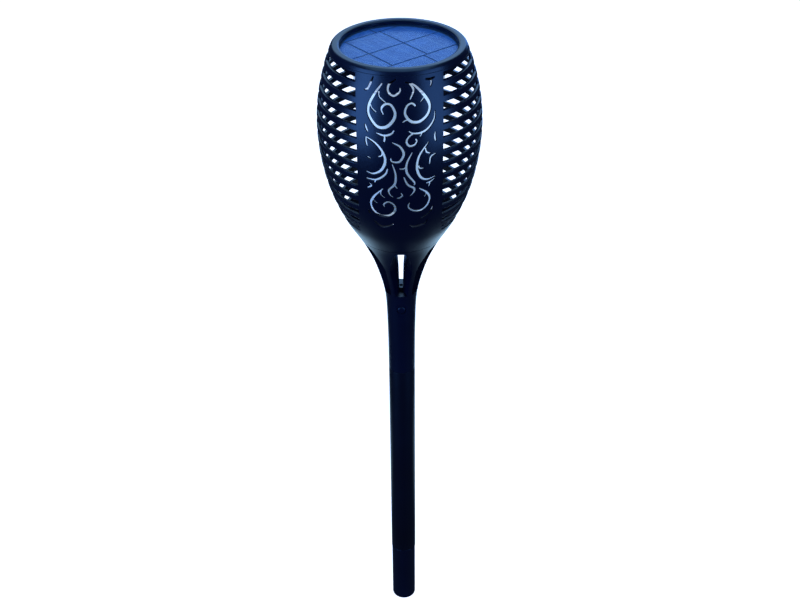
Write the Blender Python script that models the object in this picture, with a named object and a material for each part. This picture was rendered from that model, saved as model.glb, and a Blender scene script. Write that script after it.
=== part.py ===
"""Solar garden torch: a barrel-shaped basket on a slim pole, with a lift-out light unit.

Metres, +Z up. The origin is the centre of the flat lower end of the ground stake, and the
front filigree panel faces -Y. Depths are measured downward from the top of the rim.
"""

import math

import bmesh
import bpy
from mathutils import Matrix, Vector
from mathutils.geometry import delaunay_2d_cdt

MM = 0.001
GAP = 0.3 * MM

# Overall
RIM_HEIGHT = 543.0 * MM
TURN_SEGMENTS = 40
RIM_SEGMENTS = 48
SMALL_SEGMENTS = 20

# Outside of the head: depth below the rim and radius, joined by a smooth curve
HEAD_OUTLINE = [
    (0.0 * MM, 46.9 * MM),
    (16.0 * MM, 52.4 * MM),
    (39.0 * MM, 57.5 * MM),
    (62.0 * MM, 59.0 * MM),
    (86.0 * MM, 56.9 * MM),
    (110.0 * MM, 51.3 * MM),
    (133.0 * MM, 41.8 * MM),
    (156.5 * MM, 28.3 * MM),
    (180.0 * MM, 18.7 * MM),
    (203.5 * MM, 12.7 * MM),
    (235.0 * MM, 11.0 * MM),
    (278.0 * MM, 10.6 * MM),
]

# Basket
BASKET_TOP_DEPTH = 3.9 * MM
BASKET_FOOT_DEPTH = 149.7 * MM
BASKET_WALL = 2.4 * MM
PANEL_WALL = 1.3 * MM
PANEL_HALF_WIDTH = 29.5 * MM
SIDE_RIB_HALF_WIDTH = 5.0 * MM
SEAM_HALF_GAP = 0.15 * MM
SLOT_COUNT = 14
FIRST_SLOT_DEPTH = 5.2 * MM
SLOT_PITCH = 9.28 * MM
SLOT_HEIGHT = 5.1 * MM
SLOT_COLUMNS = 4
PANEL_COLUMNS = 6

# Neck with six windows between radial fins
NECK_TOP_DEPTH = 150.0 * MM
NECK_END_DEPTH = 278.0 * MM
WINDOW_COUNT = 6
WINDOW_SILL_DEPTH = 202.0 * MM
WINDOW_HEAD_DEPTH = 153.0 * MM
FIN_THICKNESS = 3.6 * MM
WINDOW_HALF_WIDTH = 8.4 * MM
WINDOW_NEAR_RADIUS = 6.0 * MM
SHELF_DEPTH = 204.2 * MM
SHELF_DOME_RADIUS = 4.0 * MM
SHELF_DOME_DEPTH = 199.3 * MM
DRAIN_RADIUS = 1.5 * MM
SOCKET_RADIUS = 9.2 * MM

# Lock button in the neck
LOCK_DEPTH = 216.0 * MM
LOCK_RADIUS = 3.1 * MM
LOCK_HOLE_RADIUS = 3.5 * MM
LOCK_DISH_RADIUS = 5.9 * MM
LOCK_DISH_DEPTH = 0.7 * MM
LOCK_TRAVEL = 2.2 * MM

# Pole and stake
POLE_RADIUS = 10.6 * MM
POLE_WALL = 0.5 * MM
POLE_TOP_DEPTH = 204.5 * MM
SWAGE_RADIUS = 8.9 * MM
SHANK_RADIUS = 10.3 * MM
SHANK_LENGTH = 61.0 * MM
COLLAR_HEIGHT = 1.4 * MM
STAKE_PLUG_RADIUS = 9.8 * MM
STAKE_PLUG_HEIGHT = 8.0 * MM
STAKE_TIP_HEIGHT = 215.0 * MM
BLADE_HALF_WIDTH = 9.4 * MM
BLADE_THICKNESS = 3.0 * MM

# Light unit
RIM_INNER_RADIUS = 41.2 * MM
PANEL_RADIUS = 42.3 * MM
RING_BORE = 42.6 * MM
RING_SKIRT_RADIUS = 44.4 * MM
CELL_FIELD_RADIUS = 40.6 * MM
CELL_SPACE = 1.2 * MM
CELL_ANGLE = math.radians(38.5)
CELL_STRIPS = [
    (-60.0 * MM, -19.7 * MM, [5.7 * MM]),
    (-19.7 * MM, 6.1 * MM, [-21.3 * MM, 8.9 * MM]),
    (6.1 * MM, 33.0 * MM, [-21.3 * MM, 8.9 * MM]),
    (33.0 * MM, 60.0 * MM, [5.7 * MM]),
]
HOUSING_RADIUS = 32.0 * MM
HOUSING_WALL = 1.6 * MM
HOUSING_FLOOR_DEPTH = 23.5 * MM
TRAY_TOP_DEPTH = 8.0 * MM
TRAY_FLOOR_DEPTH = 12.2 * MM
TRAY_OPENING_RADIUS = 28.6 * MM
TRAY_WALL = 1.4 * MM
BOSS_REACH = 20.5 * MM
BOSS_HEIGHT = 6.0 * MM
BOSS_RADIUS = 3.0 * MM
SCREW_RADIUS = 1.2 * MM
SCREW_HEAD_RADIUS = 2.4 * MM
COVER_TOP_DEPTH = 23.8 * MM
COVER_BOTTOM_DEPTH = 25.8 * MM
SPIGOT_RADIUS = 25.2 * MM
SPIGOT_END_DEPTH = 31.0 * MM
TAB_RADIUS = 27.1 * MM
BAYONET_HEIGHT = 1.6 * MM
DIFFUSER_RADIUS = 29.0 * MM
DIFFUSER_WALL = 1.4 * MM
DIFFUSER_TOP_DEPTH = 26.2 * MM
DIFFUSER_END_DEPTH = 118.0 * MM
DIFFUSER_CAP_DEPTH = 122.0 * MM
BAYONET_ANGLE = math.radians(10.0)
BATTERY_RADIUS = 7.1 * MM
BATTERY_HALF_LENGTH = 25.0 * MM
BATTERY_Y = 4.0 * MM
BATTERY_DEPTH = 14.6 * MM
SWITCH_Y = 36.0 * MM
BUTTON_RADIUS = 2.2 * MM
BUTTON_TOP_DEPTH = 9.8 * MM
BUTTON_END_DEPTH = 14.2 * MM
CORE_RADIUS = 9.0 * MM
CORE_WALL = 1.4 * MM
CORE_END_DEPTH = 96.0 * MM
LED_TOP_DEPTH = 34.0 * MM
LED_BOTTOM_DEPTH = 92.0 * MM
LED_COLUMNS = 8
LED_ROWS = 6


def height(depth):
    """Height above the origin of a level that lies this far below the rim."""
    return RIM_HEIGHT - depth


def smooth_value(points, x):
    """Value at x of a smooth curve through the points, a cubic between each two."""
    last = len(points) - 1
    index = 0
    while index < last - 1 and x > points[index + 1][0]:
        index += 1

    def slope(i):
        low, high = max(i - 1, 0), min(i + 1, last)
        return (points[high][1] - points[low][1]) / (points[high][0] - points[low][0])

    (x0, y0), (x1, y1) = points[index], points[index + 1]
    span = x1 - x0
    t = (x - x0) / span
    start = (1 + 2 * t) * (1 - t) ** 2 * y0 + t * (1 - t) ** 2 * span * slope(index)
    end = t * t * (3 - 2 * t) * y1 + t * t * (t - 1) * span * slope(index + 1)
    return start + end


def head_radius(depth):
    return smooth_value(HEAD_OUTLINE, depth)


# Materials ------------------------------------------------------------------------------


def material(name, colour, roughness, metallic=0.0, alpha=1.0):
    made = bpy.data.materials.get(name)
    if made is None:
        made = bpy.data.materials.new(name)
        made.use_nodes = True
        shader = made.node_tree.nodes["Principled BSDF"]
        shader.inputs["Base Color"].default_value = (*colour, 1.0)
        shader.inputs["Roughness"].default_value = roughness
        shader.inputs["Metallic"].default_value = metallic
        shader.inputs["Alpha"].default_value = alpha
    return made


def black_plastic():
    return material("black_plastic", (0.010, 0.016, 0.034), 0.32)


def black_coated_steel():
    return material("black_coated_steel", (0.009, 0.012, 0.026), 0.35)


def frosted_plastic():
    return material("frosted_plastic", (0.72, 0.82, 0.88), 0.55, alpha=0.8)


def white_plastic():
    return material("white_plastic", (0.75, 0.76, 0.76), 0.45)


def clear_cover():
    return material("clear_cover", (0.25, 0.42, 0.70), 0.10, alpha=0.35)


def silicon():
    return material("silicon", (0.022, 0.075, 0.30), 0.30, metallic=0.2)


def board_green():
    return material("board_green", (0.02, 0.12, 0.06), 0.45)


def steel():
    return material("steel", (0.55, 0.56, 0.58), 0.30, metallic=1.0)


def rubber():
    return material("rubber", (0.02, 0.02, 0.02), 0.80)


def battery_wrap():
    return material("battery_wrap", (0.04, 0.16, 0.10), 0.40)


def red_insulation():
    return material("red_insulation", (0.45, 0.02, 0.02), 0.50)


def black_insulation():
    return material("black_insulation", (0.01, 0.01, 0.01), 0.50)


# Shapes ---------------------------------------------------------------------------------


def clear_scene():
    for old in list(bpy.data.objects):
        bpy.data.objects.remove(old, do_unlink=True)


def add_object(name, mesh_builder, surface, location=(0, 0, 0), parent=None):
    """Turn a bmesh into an object whose faces point outward."""
    bmesh.ops.recalc_face_normals(mesh_builder, faces=mesh_builder.faces)
    mesh = bpy.data.meshes.new(name)
    mesh_builder.to_mesh(mesh)
    mesh_builder.free()
    mesh.shade_smooth()
    mesh.set_sharp_from_angle(angle=math.radians(35))
    mesh.materials.append(surface)
    made = bpy.data.objects.new(name, mesh)
    made.location = location
    made.parent = parent
    bpy.context.scene.collection.objects.link(made)
    return made


def as_cutter(cutter):
    cutter.hide_render = True
    cutter.display_type = "WIRE"
    return cutter


def combine(target, tool, operation):
    as_cutter(tool)
    step = target.modifiers.new(tool.name, "BOOLEAN")
    step.operation = operation
    step.object = tool
    return target


def cut_with(target, builder, name):
    """Take the shape out of the target."""
    tool = add_object(name, builder, black_plastic(), parent=target.parent)
    return combine(target, tool, "DIFFERENCE")


def join_with(target, builder, name):
    """Merge the shape into the target."""
    tool = add_object(name, builder, black_plastic(), parent=target.parent)
    return combine(target, tool, "UNION")


def upright(place, low_depth, high_depth):
    """Two ends of a vertical line over a place in plan."""
    return place + Vector((0, 0, height(low_depth))), place + Vector((0, 0, height(high_depth)))


def turned_ring(outline, segments=TURN_SEGMENTS):
    """Revolve a closed outline of (radius, depth) that stays clear of the axis."""
    builder = bmesh.new()
    rings = []
    for step in range(segments):
        angle = 2 * math.pi * step / segments
        across, along = math.cos(angle), math.sin(angle)
        rings.append([builder.verts.new((r * across, r * along, height(d))) for r, d in outline])
    count = len(outline)
    for step in range(segments):
        here, there = rings[step], rings[(step + 1) % segments]
        for i in range(count):
            j = (i + 1) % count
            builder.faces.new((here[i], there[i], there[j], here[j]))
    return builder


def turned_solid(outline, segments=SMALL_SEGMENTS):
    """Revolve an open outline of (radius, height) and close it with a flat face at each end."""
    builder = bmesh.new()
    rings = []
    for r, z in outline:
        ring = []
        for step in range(segments):
            angle = 2 * math.pi * step / segments
            ring.append(builder.verts.new((r * math.cos(angle), r * math.sin(angle), z)))
        rings.append(ring)
    for lower, upper in zip(rings, rings[1:]):
        for step in range(segments):
            after = (step + 1) % segments
            builder.faces.new((lower[step], lower[after], upper[after], upper[step]))
    builder.faces.new(rings[0])
    builder.faces.new(rings[-1])
    return builder


def rod(radius, start, end, segments=SMALL_SEGMENTS):
    """A straight round bar between two points."""
    start, end = Vector(start), Vector(end)
    length = (end - start).length
    builder = turned_solid([(radius, 0.0), (radius, length)], segments)
    turn = (end - start).to_track_quat("Z", "Y").to_matrix().to_4x4()
    bmesh.ops.transform(builder, matrix=Matrix.Translation(start) @ turn, verts=builder.verts)
    return builder


def block(low, high):
    """A box between two opposite corners."""
    builder = bmesh.new()
    bmesh.ops.create_cube(builder, size=1.0)
    size = Vector(high) - Vector(low)
    centre = (Vector(high) + Vector(low)) / 2
    bmesh.ops.scale(builder, vec=size, verts=builder.verts)
    bmesh.ops.translate(builder, vec=centre, verts=builder.verts)
    return builder


def prism(outline, low, high):
    """A flat outline of (x, y) raised between two heights."""
    builder = bmesh.new()
    bottom = [builder.verts.new((x, y, low)) for x, y in outline]
    top = [builder.verts.new((x, y, high)) for x, y in outline]
    count = len(outline)
    for i in range(count):
        j = (i + 1) % count
        builder.faces.new((bottom[i], bottom[j], top[j], top[i]))
    builder.faces.new(bottom)
    builder.faces.new(top)
    return builder


def sector_outline(inner, outer, middle, half_angle, steps=4):
    """Outline of a piece of ring between two radii."""
    angles = [middle + half_angle * (2 * i / steps - 1) for i in range(steps + 1)]
    out = [(outer * math.cos(a), outer * math.sin(a)) for a in angles]
    back = [(inner * math.cos(a), inner * math.sin(a)) for a in reversed(angles)]
    return out + back


def wire(name, points, radius, surface, parent):
    """A soft lead on a smooth curve through a few points."""
    curve = bpy.data.curves.new(name, "CURVE")
    curve.dimensions = "3D"
    curve.bevel_depth = radius
    curve.bevel_resolution = 2
    curve.use_fill_caps = True
    line = curve.splines.new("POLY")
    dense = smooth_route(points, steps=3)
    line.points.add(len(dense) - 1)
    for slot, place in zip(line.points, dense):
        slot.co = (*place, 1.0)
    curve.materials.append(surface)
    made = bpy.data.objects.new(name, curve)
    made.parent = parent
    bpy.context.scene.collection.objects.link(made)
    return made


def smooth_route(points, steps):
    """Points along a Catmull-Rom curve through the given ones."""
    route = [Vector(p) for p in points]
    padded = [2 * route[0] - route[1]] + route + [2 * route[-1] - route[-2]]
    dense = []
    for before, here, there, after in zip(padded, padded[1:], padded[2:], padded[3:]):
        for i in range(steps):
            t = i / steps
            place = 2 * here + (there - before) * t
            place += (2 * before - 5 * here + 4 * there - after) * t * t
            place += (3 * here - before - 3 * there + after) * t**3
            dense.append(place / 2)
    dense.append(route[-1])
    return dense


# Stake, pole and neck ----------------------------------------------------------------------


def ground_stake(parent):
    """Round shank below, cross blade above: stored point upward inside the pole."""
    collar_top = SHANK_LENGTH + COLLAR_HEIGHT
    plug_top = collar_top + STAKE_PLUG_HEIGHT
    edge = 1.0 * MM
    outline = [
        (SHANK_RADIUS - edge, 0.0),
        (SHANK_RADIUS - 0.3 * edge, 0.3 * edge),
        (SHANK_RADIUS, edge),
        (SHANK_RADIUS, SHANK_LENGTH),
        (POLE_RADIUS, SHANK_LENGTH + 0.3 * MM),
        (POLE_RADIUS, collar_top),
        (STAKE_PLUG_RADIUS, collar_top),
        (STAKE_PLUG_RADIUS, plug_top),
    ]
    stake = add_object("ground_stake", turned_solid(outline, 24), black_plastic(), parent=parent)
    for turn in range(2):
        blade = bmesh.new()
        half = BLADE_THICKNESS / 2
        tip_half, tip = 0.6 * half, STAKE_TIP_HEIGHT - turn * 3 * MM
        shape = [
            (-BLADE_HALF_WIDTH, plug_top - 2 * MM),
            (BLADE_HALF_WIDTH, plug_top - 2 * MM),
            (BLADE_HALF_WIDTH, plug_top + 60 * MM),
            (tip_half, tip),
            (-tip_half, tip),
            (-BLADE_HALF_WIDTH, plug_top + 60 * MM),
        ]
        face = blade.faces.new([blade.verts.new((x, -half, z)) for x, z in shape])
        raised = bmesh.ops.extrude_face_region(blade, geom=[face])["geom"]
        moved = [item for item in raised if isinstance(item, bmesh.types.BMVert)]
        bmesh.ops.translate(blade, vec=(0, 2 * half, 0), verts=moved)
        turn_matrix = Matrix.Rotation(turn * math.pi / 2, 4, "Z")
        bmesh.ops.transform(blade, matrix=turn_matrix, verts=blade.verts)
        join_with(stake, blade, f"blade_{turn + 1}_tool")
    return stake


def pole_tube(parent):
    """Thin steel tube, drawn down to a smaller diameter where it enters the neck."""
    foot = RIM_HEIGHT - (SHANK_LENGTH + COLLAR_HEIGHT + GAP)
    shoulder = NECK_END_DEPTH + GAP
    inner, small_inner = POLE_RADIUS - POLE_WALL, SWAGE_RADIUS - POLE_WALL
    outline = [
        (POLE_RADIUS, foot),
        (POLE_RADIUS, shoulder + 0.6 * MM),
        (POLE_RADIUS - 0.6 * MM, shoulder),
        (SWAGE_RADIUS, shoulder),
        (SWAGE_RADIUS, POLE_TOP_DEPTH),
        (small_inner, POLE_TOP_DEPTH),
        (small_inner, shoulder + 1.2 * MM),
        (inner, shoulder + 2.4 * MM),
        (inner, foot),
    ]
    tube = add_object("pole_tube", turned_ring(outline, 24), black_coated_steel(), parent=parent)
    z = height(LOCK_DEPTH)
    hole = rod(LOCK_HOLE_RADIUS, (0, -12 * MM, z), (0, 0, z))
    return cut_with(tube, hole, "pole_hole_tool")


def window_cutter():
    """The space between two fins: a wedge whose head narrows like an arch."""
    near = WINDOW_NEAR_RADIUS
    slope = math.tan(math.pi / WINDOW_COUNT)
    offset = FIN_THICKNESS / 2 / math.cos(math.pi / WINDOW_COUNT)
    near_half = near * slope - offset
    full = (WINDOW_HALF_WIDTH + offset) / slope
    section = [
        (-near_half, near),
        (near_half, near),
        (WINDOW_HALF_WIDTH, full),
        (WINDOW_HALF_WIDTH, 36 * MM),
        (-WINDOW_HALF_WIDTH, 36 * MM),
        (-WINDOW_HALF_WIDTH, full),
    ]
    levels = [
        (WINDOW_SILL_DEPTH, 1.0),
        (173.0 * MM, 1.0),
        (163.0 * MM, 0.84),
        (156.0 * MM, 0.64),
        (WINDOW_HEAD_DEPTH, 0.38),
    ]
    builder = bmesh.new()
    rings = []
    for depth, narrowing in levels:
        ring = [builder.verts.new((x * narrowing, -y, height(depth))) for x, y in section]
        rings.append(ring)
    count = len(section)
    for lower, upper in zip(rings, rings[1:]):
        for i in range(count):
            j = (i + 1) % count
            builder.faces.new((lower[i], lower[j], upper[j], upper[i]))
    builder.faces.new(rings[0])
    builder.faces.new(rings[-1])
    return builder


def neck(parent):
    """Funnel, six fins, a domed shelf with a drain hole and the socket for the pole."""
    outside = [(150, 160), (160, 172), (172, 184), (184, 196), (196, 206), (206, 220), (220, 240)]
    depths = [NECK_TOP_DEPTH] + [pair[1] * MM for pair in outside] + [NECK_END_DEPTH]
    outline = [(head_radius(d), d) for d in depths]
    outline += [
        (SOCKET_RADIUS, NECK_END_DEPTH),
        (SOCKET_RADIUS, SHELF_DEPTH),
        (DRAIN_RADIUS, SHELF_DEPTH),
        (DRAIN_RADIUS, SHELF_DOME_DEPTH),
        (SHELF_DOME_RADIUS, SHELF_DOME_DEPTH),
        (WINDOW_NEAR_RADIUS - 0.2 * MM, WINDOW_SILL_DEPTH + 0.6 * MM),
        (WINDOW_NEAR_RADIUS + 0.2 * MM, WINDOW_SILL_DEPTH + 0.6 * MM),
        (7.9 * MM, 177.0 * MM),
        (head_radius(156 * MM) - 3.0 * MM, 156.0 * MM),
        (head_radius(NECK_TOP_DEPTH) - BASKET_WALL, NECK_TOP_DEPTH),
    ]
    funnel = add_object("neck", turned_ring(outline), black_plastic(), parent=parent)
    for number in range(WINDOW_COUNT):
        cutter = window_cutter()
        turn = Matrix.Rotation(2 * math.pi * number / WINDOW_COUNT, 4, "Z")
        bmesh.ops.transform(cutter, matrix=turn, verts=cutter.verts)
        cut_with(funnel, cutter, f"window_{number + 1}_tool")
    z = height(LOCK_DEPTH)
    face = -head_radius(LOCK_DEPTH)
    dish = rod(LOCK_DISH_RADIUS, (0, face - 3 * MM, z), (0, face + LOCK_DISH_DEPTH, z))
    cut_with(funnel, dish, "dish_tool")
    hole = rod(LOCK_HOLE_RADIUS, (0, face - 3 * MM, z), (0, 0, z))
    return cut_with(funnel, hole, "neck_hole_tool")


def lock_button(parent):
    """Round snap button, with a flange that holds it inside the tube."""
    face = -head_radius(LOCK_DEPTH) + 0.2 * MM
    flange_front = -SWAGE_RADIUS + POLE_WALL + 1.0 * MM
    start = Vector((0, 0, height(LOCK_DEPTH)))
    outline = [
        (LOCK_RADIUS - 0.8 * MM, face),
        (LOCK_RADIUS, face + 0.6 * MM),
        (LOCK_RADIUS, flange_front),
        (LOCK_RADIUS + 0.9 * MM, flange_front),
        (LOCK_RADIUS + 0.9 * MM, flange_front + 0.8 * MM),
    ]
    builder = turned_solid(outline, 16)
    turn = Matrix.Rotation(-math.pi / 2, 4, "X")
    bmesh.ops.transform(builder, matrix=turn, verts=builder.verts)
    return add_object("lock_button", builder, black_plastic(), start, parent)


def lock_spring(parent):
    """Leaf spring across the tube behind the button, drawn at its pressed shape."""
    half_width, thickness = 2.5 * MM, 0.4 * MM
    z = height(LOCK_DEPTH)
    tip = -SWAGE_RADIUS + POLE_WALL + 1.8 * MM + LOCK_TRAVEL + GAP
    back = SWAGE_RADIUS - POLE_WALL - 0.9 * MM
    route = [
        (tip, z + 2 * MM),
        (tip + 0.2 * MM, z - 4 * MM),
        (tip + 2.2 * MM, z - 11 * MM),
        (0.5 * (tip + back), z - 15 * MM),
        (back - 1.5 * MM, z - 12 * MM),
        (back, z - 4 * MM),
        (back, z + 6 * MM),
    ]
    line = smooth_route([(0, y, h) for y, h in route], steps=3)
    builder = bmesh.new()
    rings = []
    for i, place in enumerate(line):
        ahead = line[min(i + 1, len(line) - 1)] - line[max(i - 1, 0)]
        side = Vector((0, -ahead.z, ahead.y)).normalized() * thickness / 2
        across = Vector((half_width, 0, 0))
        corners = [place + across + side, place - across + side]
        corners += [place - across - side, place + across - side]
        rings.append([builder.verts.new(corner) for corner in corners])
    for here, there in zip(rings, rings[1:]):
        for i in range(4):
            j = (i + 1) % 4
            builder.faces.new((here[i], here[j], there[j], there[i]))
    builder.faces.new(rings[0])
    builder.faces.new(rings[-1])
    return add_object("lock_spring", builder, steel(), parent=parent)


# Basket -----------------------------------------------------------------------------------


def slot_levels():
    """Depths of the rows: the top edge, each slot's upper and lower edge, and the foot."""
    levels = [BASKET_TOP_DEPTH]
    for number in range(SLOT_COUNT):
        top = FIRST_SLOT_DEPTH + number * SLOT_PITCH
        levels += [top, top + SLOT_HEIGHT]
    return levels + [BASKET_FOOT_DEPTH]


def scroll(points, widths):
    """A closed curved cut that swells between two points, along a smooth line."""
    line = smooth_route([(x * MM, z * MM, 0) for x, z in points], steps=3)
    left, right = [], []
    for i, place in enumerate(line):
        ahead = line[min(i + 1, len(line) - 1)] - line[max(i - 1, 0)]
        side = Vector((-ahead.y, ahead.x, 0)).normalized()
        half = MM * smooth_value(widths, i / (len(line) - 1)) / 2
        left.append(place + side * half)
        right.append(place - side * half)
    return [(p.x, p.y) for p in left + right[::-1]]


def filigree_cuts():
    """Curled openings of the front panel, as (x, depth) outlines on its left half.

    Each is mirrored to the right half, a little lower. Every curl has (x, depth) points in
    millimetres and its width in millimetres at shares of its length.
    """
    swell = [(0.0, 0.9), (0.35, 2.0), (0.8, 1.4), (1.0, 0.9)]
    short = [(0.0, 0.9), (0.5, 1.8), (1.0, 0.9)]
    curls = [
        ([(-12.5, 16), (-20, 27), (-21, 40), (-13, 47), (-6, 42), (-8, 33), (-12.5, 34)], swell),
        ([(-22, 60), (-12.5, 67), (-9.5, 77), (-14, 85), (-21.5, 83)], swell),
        ([(-9, 52.5), (-14, 54.5), (-18.5, 52.5)], short),
        ([(-8.5, 87), (-14, 95), (-21.5, 95.5)], short),
        ([(-11.5, 101), (-19, 109), (-18, 119), (-10, 123), (-5, 118)], swell),
        ([(-3.0, 90), (-3.5, 100), (-7.0, 106), (-3.5, 111)], short),
        ([(-6.5, 10), (-8.0, 17), (-3.0, 21), (-1.0, 17)], short),
    ]
    cuts = []
    for points, widths in curls:
        cuts.append(scroll(points, widths))
        cuts.append(scroll([(-x, depth + 1.2) for x, depth in points], widths))
    return cuts


def panel_faces(levels, edge_columns):
    """Triangles of the pierced panel, flat in (x, depth), that share the given rows."""
    half = PANEL_HALF_WIDTH
    steps = [half * (2 * i / edge_columns - 1) for i in range(edge_columns + 1)]
    outline = [(x, levels[0]) for x in steps]
    outline += [(half, d) for d in levels[1:-1]]
    outline += [(x, levels[-1]) for x in reversed(steps)]
    outline += [(-half, d) for d in reversed(levels[1:-1])]
    points = [Vector(p) for p in outline]
    count = len(points)
    edges = [(i, (i + 1) % count) for i in range(count)]
    faces = [list(range(count))]
    cuts = filigree_cuts()
    for cut in cuts:
        first = len(points)
        points += [Vector(p) for p in cut]
        span = len(cut)
        edges += [(first + i, first + (i + 1) % span) for i in range(span)]
        faces.append([first + i for i in range(span)])
    clearance = 2.0 * MM
    borders = [Vector(p) for cut in cuts for p in cut]
    for depth in levels[1:-1:2]:
        for x in steps[1:-1]:
            spot = Vector((x, depth))
            if all((spot - other).length > clearance for other in borders):
                points.append(spot)
    done = delaunay_2d_cdt(points, edges, faces, 2, 1e-7)
    return [tuple(p) for p in done[0]], [tuple(f) for f in done[2]]


def basket_sheet():
    """Outer surface of half a basket as points in (x, y, z) and faces."""
    levels = slot_levels()
    points, faces = [], []

    def add_point(across, radius, depth):
        back = -math.sqrt(max(radius**2 - across**2, 0.0))
        points.append(Vector((across, back, height(depth))))
        return len(points) - 1

    flat_points, flat_faces = panel_faces(levels, PANEL_COLUMNS)
    for across, depth in flat_points:
        add_point(across, head_radius(depth), depth)
    faces += flat_faces

    for side in (-1, 1):
        rows = []
        for depth in levels:
            radius = head_radius(depth)
            start = math.asin(PANEL_HALF_WIDTH / radius)
            rib = math.acos(SIDE_RIB_HALF_WIDTH / radius)
            seam = math.acos(SEAM_HALF_GAP / radius)
            angles = [start + (rib - start) * i / SLOT_COLUMNS for i in range(SLOT_COLUMNS + 1)]
            angles.append(seam)
            rows.append([add_point(side * radius * math.sin(a), radius, depth) for a in angles])
        for number, (upper, lower) in enumerate(zip(rows, rows[1:])):
            is_slot_row = number % 2 == 1
            for i in range(len(upper) - 1):
                if is_slot_row and i < SLOT_COLUMNS:
                    continue
                faces.append((upper[i], lower[i], lower[i + 1], upper[i + 1]))
    return points, faces


def thickened(points, faces, inward):
    """Close an open sheet with a second one inside it and walls along its edges."""
    builder = bmesh.new()
    outer = [builder.verts.new(p) for p in points]
    for face in faces:
        builder.faces.new([outer[i] for i in face])
    bmesh.ops.remove_doubles(builder, verts=builder.verts, dist=1e-6)
    loose = [v for v in builder.verts if not v.link_faces]
    bmesh.ops.delete(builder, geom=loose, context="VERTS")
    bmesh.ops.recalc_face_normals(builder, faces=builder.faces)
    outer_faces = list(builder.faces)
    rim = [edge for edge in builder.edges if len(edge.link_faces) == 1]
    inner = {v: builder.verts.new(inward(v.co)) for v in list(builder.verts)}
    for face in outer_faces:
        builder.faces.new([inner[v] for v in reversed(face.verts)])
    for edge in rim:
        first, second = edge.verts
        builder.faces.new((second, first, inner[first], inner[second]))
    return builder


def basket_half(name, turn, parent):
    """Half shell with its pierced panel, its slats and a rib along each seam."""
    points, faces = basket_sheet()

    def inward(point):
        radius = math.hypot(point.x, point.y)
        thin = abs(point.x) < PANEL_HALF_WIDTH - 1 * MM
        shrink = (radius - (PANEL_WALL if thin else BASKET_WALL)) / radius
        return Vector((point.x * shrink, point.y * shrink, point.z))

    half = add_object(name, thickened(points, faces, inward), black_plastic(), parent=parent)
    half.rotation_euler = (0, 0, turn)
    return half


# Light unit -------------------------------------------------------------------------------


def cap_ring(parent):
    """Rounded bezel over the solar panel, with a skirt that drops into the basket."""
    outline = [
        (RIM_INNER_RADIUS, 3.2 * MM),
        (RIM_INNER_RADIUS, 1.5 * MM),
        (41.8 * MM, 0.5 * MM),
        (43.0 * MM, 0.0),
        (45.2 * MM, 0.0),
        (46.5 * MM, 0.5 * MM),
        (47.3 * MM, 1.6 * MM),
        (head_radius(3.6 * MM), 3.6 * MM),
        (RING_SKIRT_RADIUS, 3.6 * MM),
        (RING_SKIRT_RADIUS, 6.8 * MM),
        (RING_BORE, 6.8 * MM),
        (RING_BORE, 3.2 * MM),
    ]
    builder = turned_ring(outline, RIM_SEGMENTS)
    return add_object("cap_ring", builder, black_plastic(), parent=parent)


def disc(name, radius, top, bottom, surface, parent, segments=RIM_SEGMENTS):
    builder = turned_solid([(radius, height(bottom)), (radius, height(top))], segments)
    return add_object(name, builder, surface, parent=parent)


def clipped(outline, normal, limit):
    """Part of a convex outline on the near side of a line."""
    kept = []
    for here, there in zip(outline, outline[1:] + outline[:1]):
        now = here[0] * normal[0] + here[1] * normal[1] - limit
        then = there[0] * normal[0] + there[1] * normal[1] - limit
        if now <= 0:
            kept.append(here)
        if now * then < 0:
            share = now / (now - then)
            kept.append(tuple(a + (b - a) * share for a, b in zip(here, there)))
    return kept


def solar_cells(parent):
    """Cut cells in four strips, trimmed to the round field and laid at an angle.

    Each strip has its two sides and the places along it where it is cut.
    """
    circle = []
    for step in range(48):
        angle = 2 * math.pi * step / 48
        circle.append((CELL_FIELD_RADIUS * math.cos(angle), CELL_FIELD_RADIUS * math.sin(angle)))
    half = CELL_SPACE / 2
    reach = 2 * CELL_FIELD_RADIUS
    turn = Matrix.Rotation(CELL_ANGLE, 4, "Z")
    number = 0
    for low, high, cuts in CELL_STRIPS:
        ends = [-reach] + cuts + [reach]
        for left, right in zip(ends, ends[1:]):
            shape = clipped(circle, (-1, 0), -(left + half))
            shape = clipped(shape, (1, 0), right - half)
            shape = clipped(shape, (0, -1), -(low + half))
            shape = clipped(shape, (0, 1), high - half)
            number += 1
            builder = prism(shape, height(5.0 * MM), height(4.7 * MM))
            bmesh.ops.transform(builder, matrix=turn, verts=builder.verts)
            add_object(f"solar_cell_{number:02d}", builder, silicon(), parent=parent)


def boss_places():
    return [
        Vector((BOSS_REACH * math.cos(a), BOSS_REACH * math.sin(a), 0))
        for a in (math.radians(90), math.radians(210), math.radians(330))
    ]


def cap_tray(parent):
    """Tray under the panel, open in the middle for the battery."""
    floor_top = TRAY_FLOOR_DEPTH - TRAY_WALL
    outline = [
        (PANEL_RADIUS, TRAY_TOP_DEPTH),
        (PANEL_RADIUS, TRAY_FLOOR_DEPTH),
        (TRAY_OPENING_RADIUS, TRAY_FLOOR_DEPTH),
        (TRAY_OPENING_RADIUS, floor_top),
        (PANEL_RADIUS - TRAY_WALL, floor_top),
        (PANEL_RADIUS - TRAY_WALL, TRAY_TOP_DEPTH),
    ]
    tray = add_object("cap_tray", turned_ring(outline), black_plastic(), parent=parent)
    start, end = upright(Vector((0, SWITCH_Y, 0)), 16 * MM, 9 * MM)
    return cut_with(tray, rod(BUTTON_RADIUS + 0.4 * MM, start, end, 12), "button_hole_tool")


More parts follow.
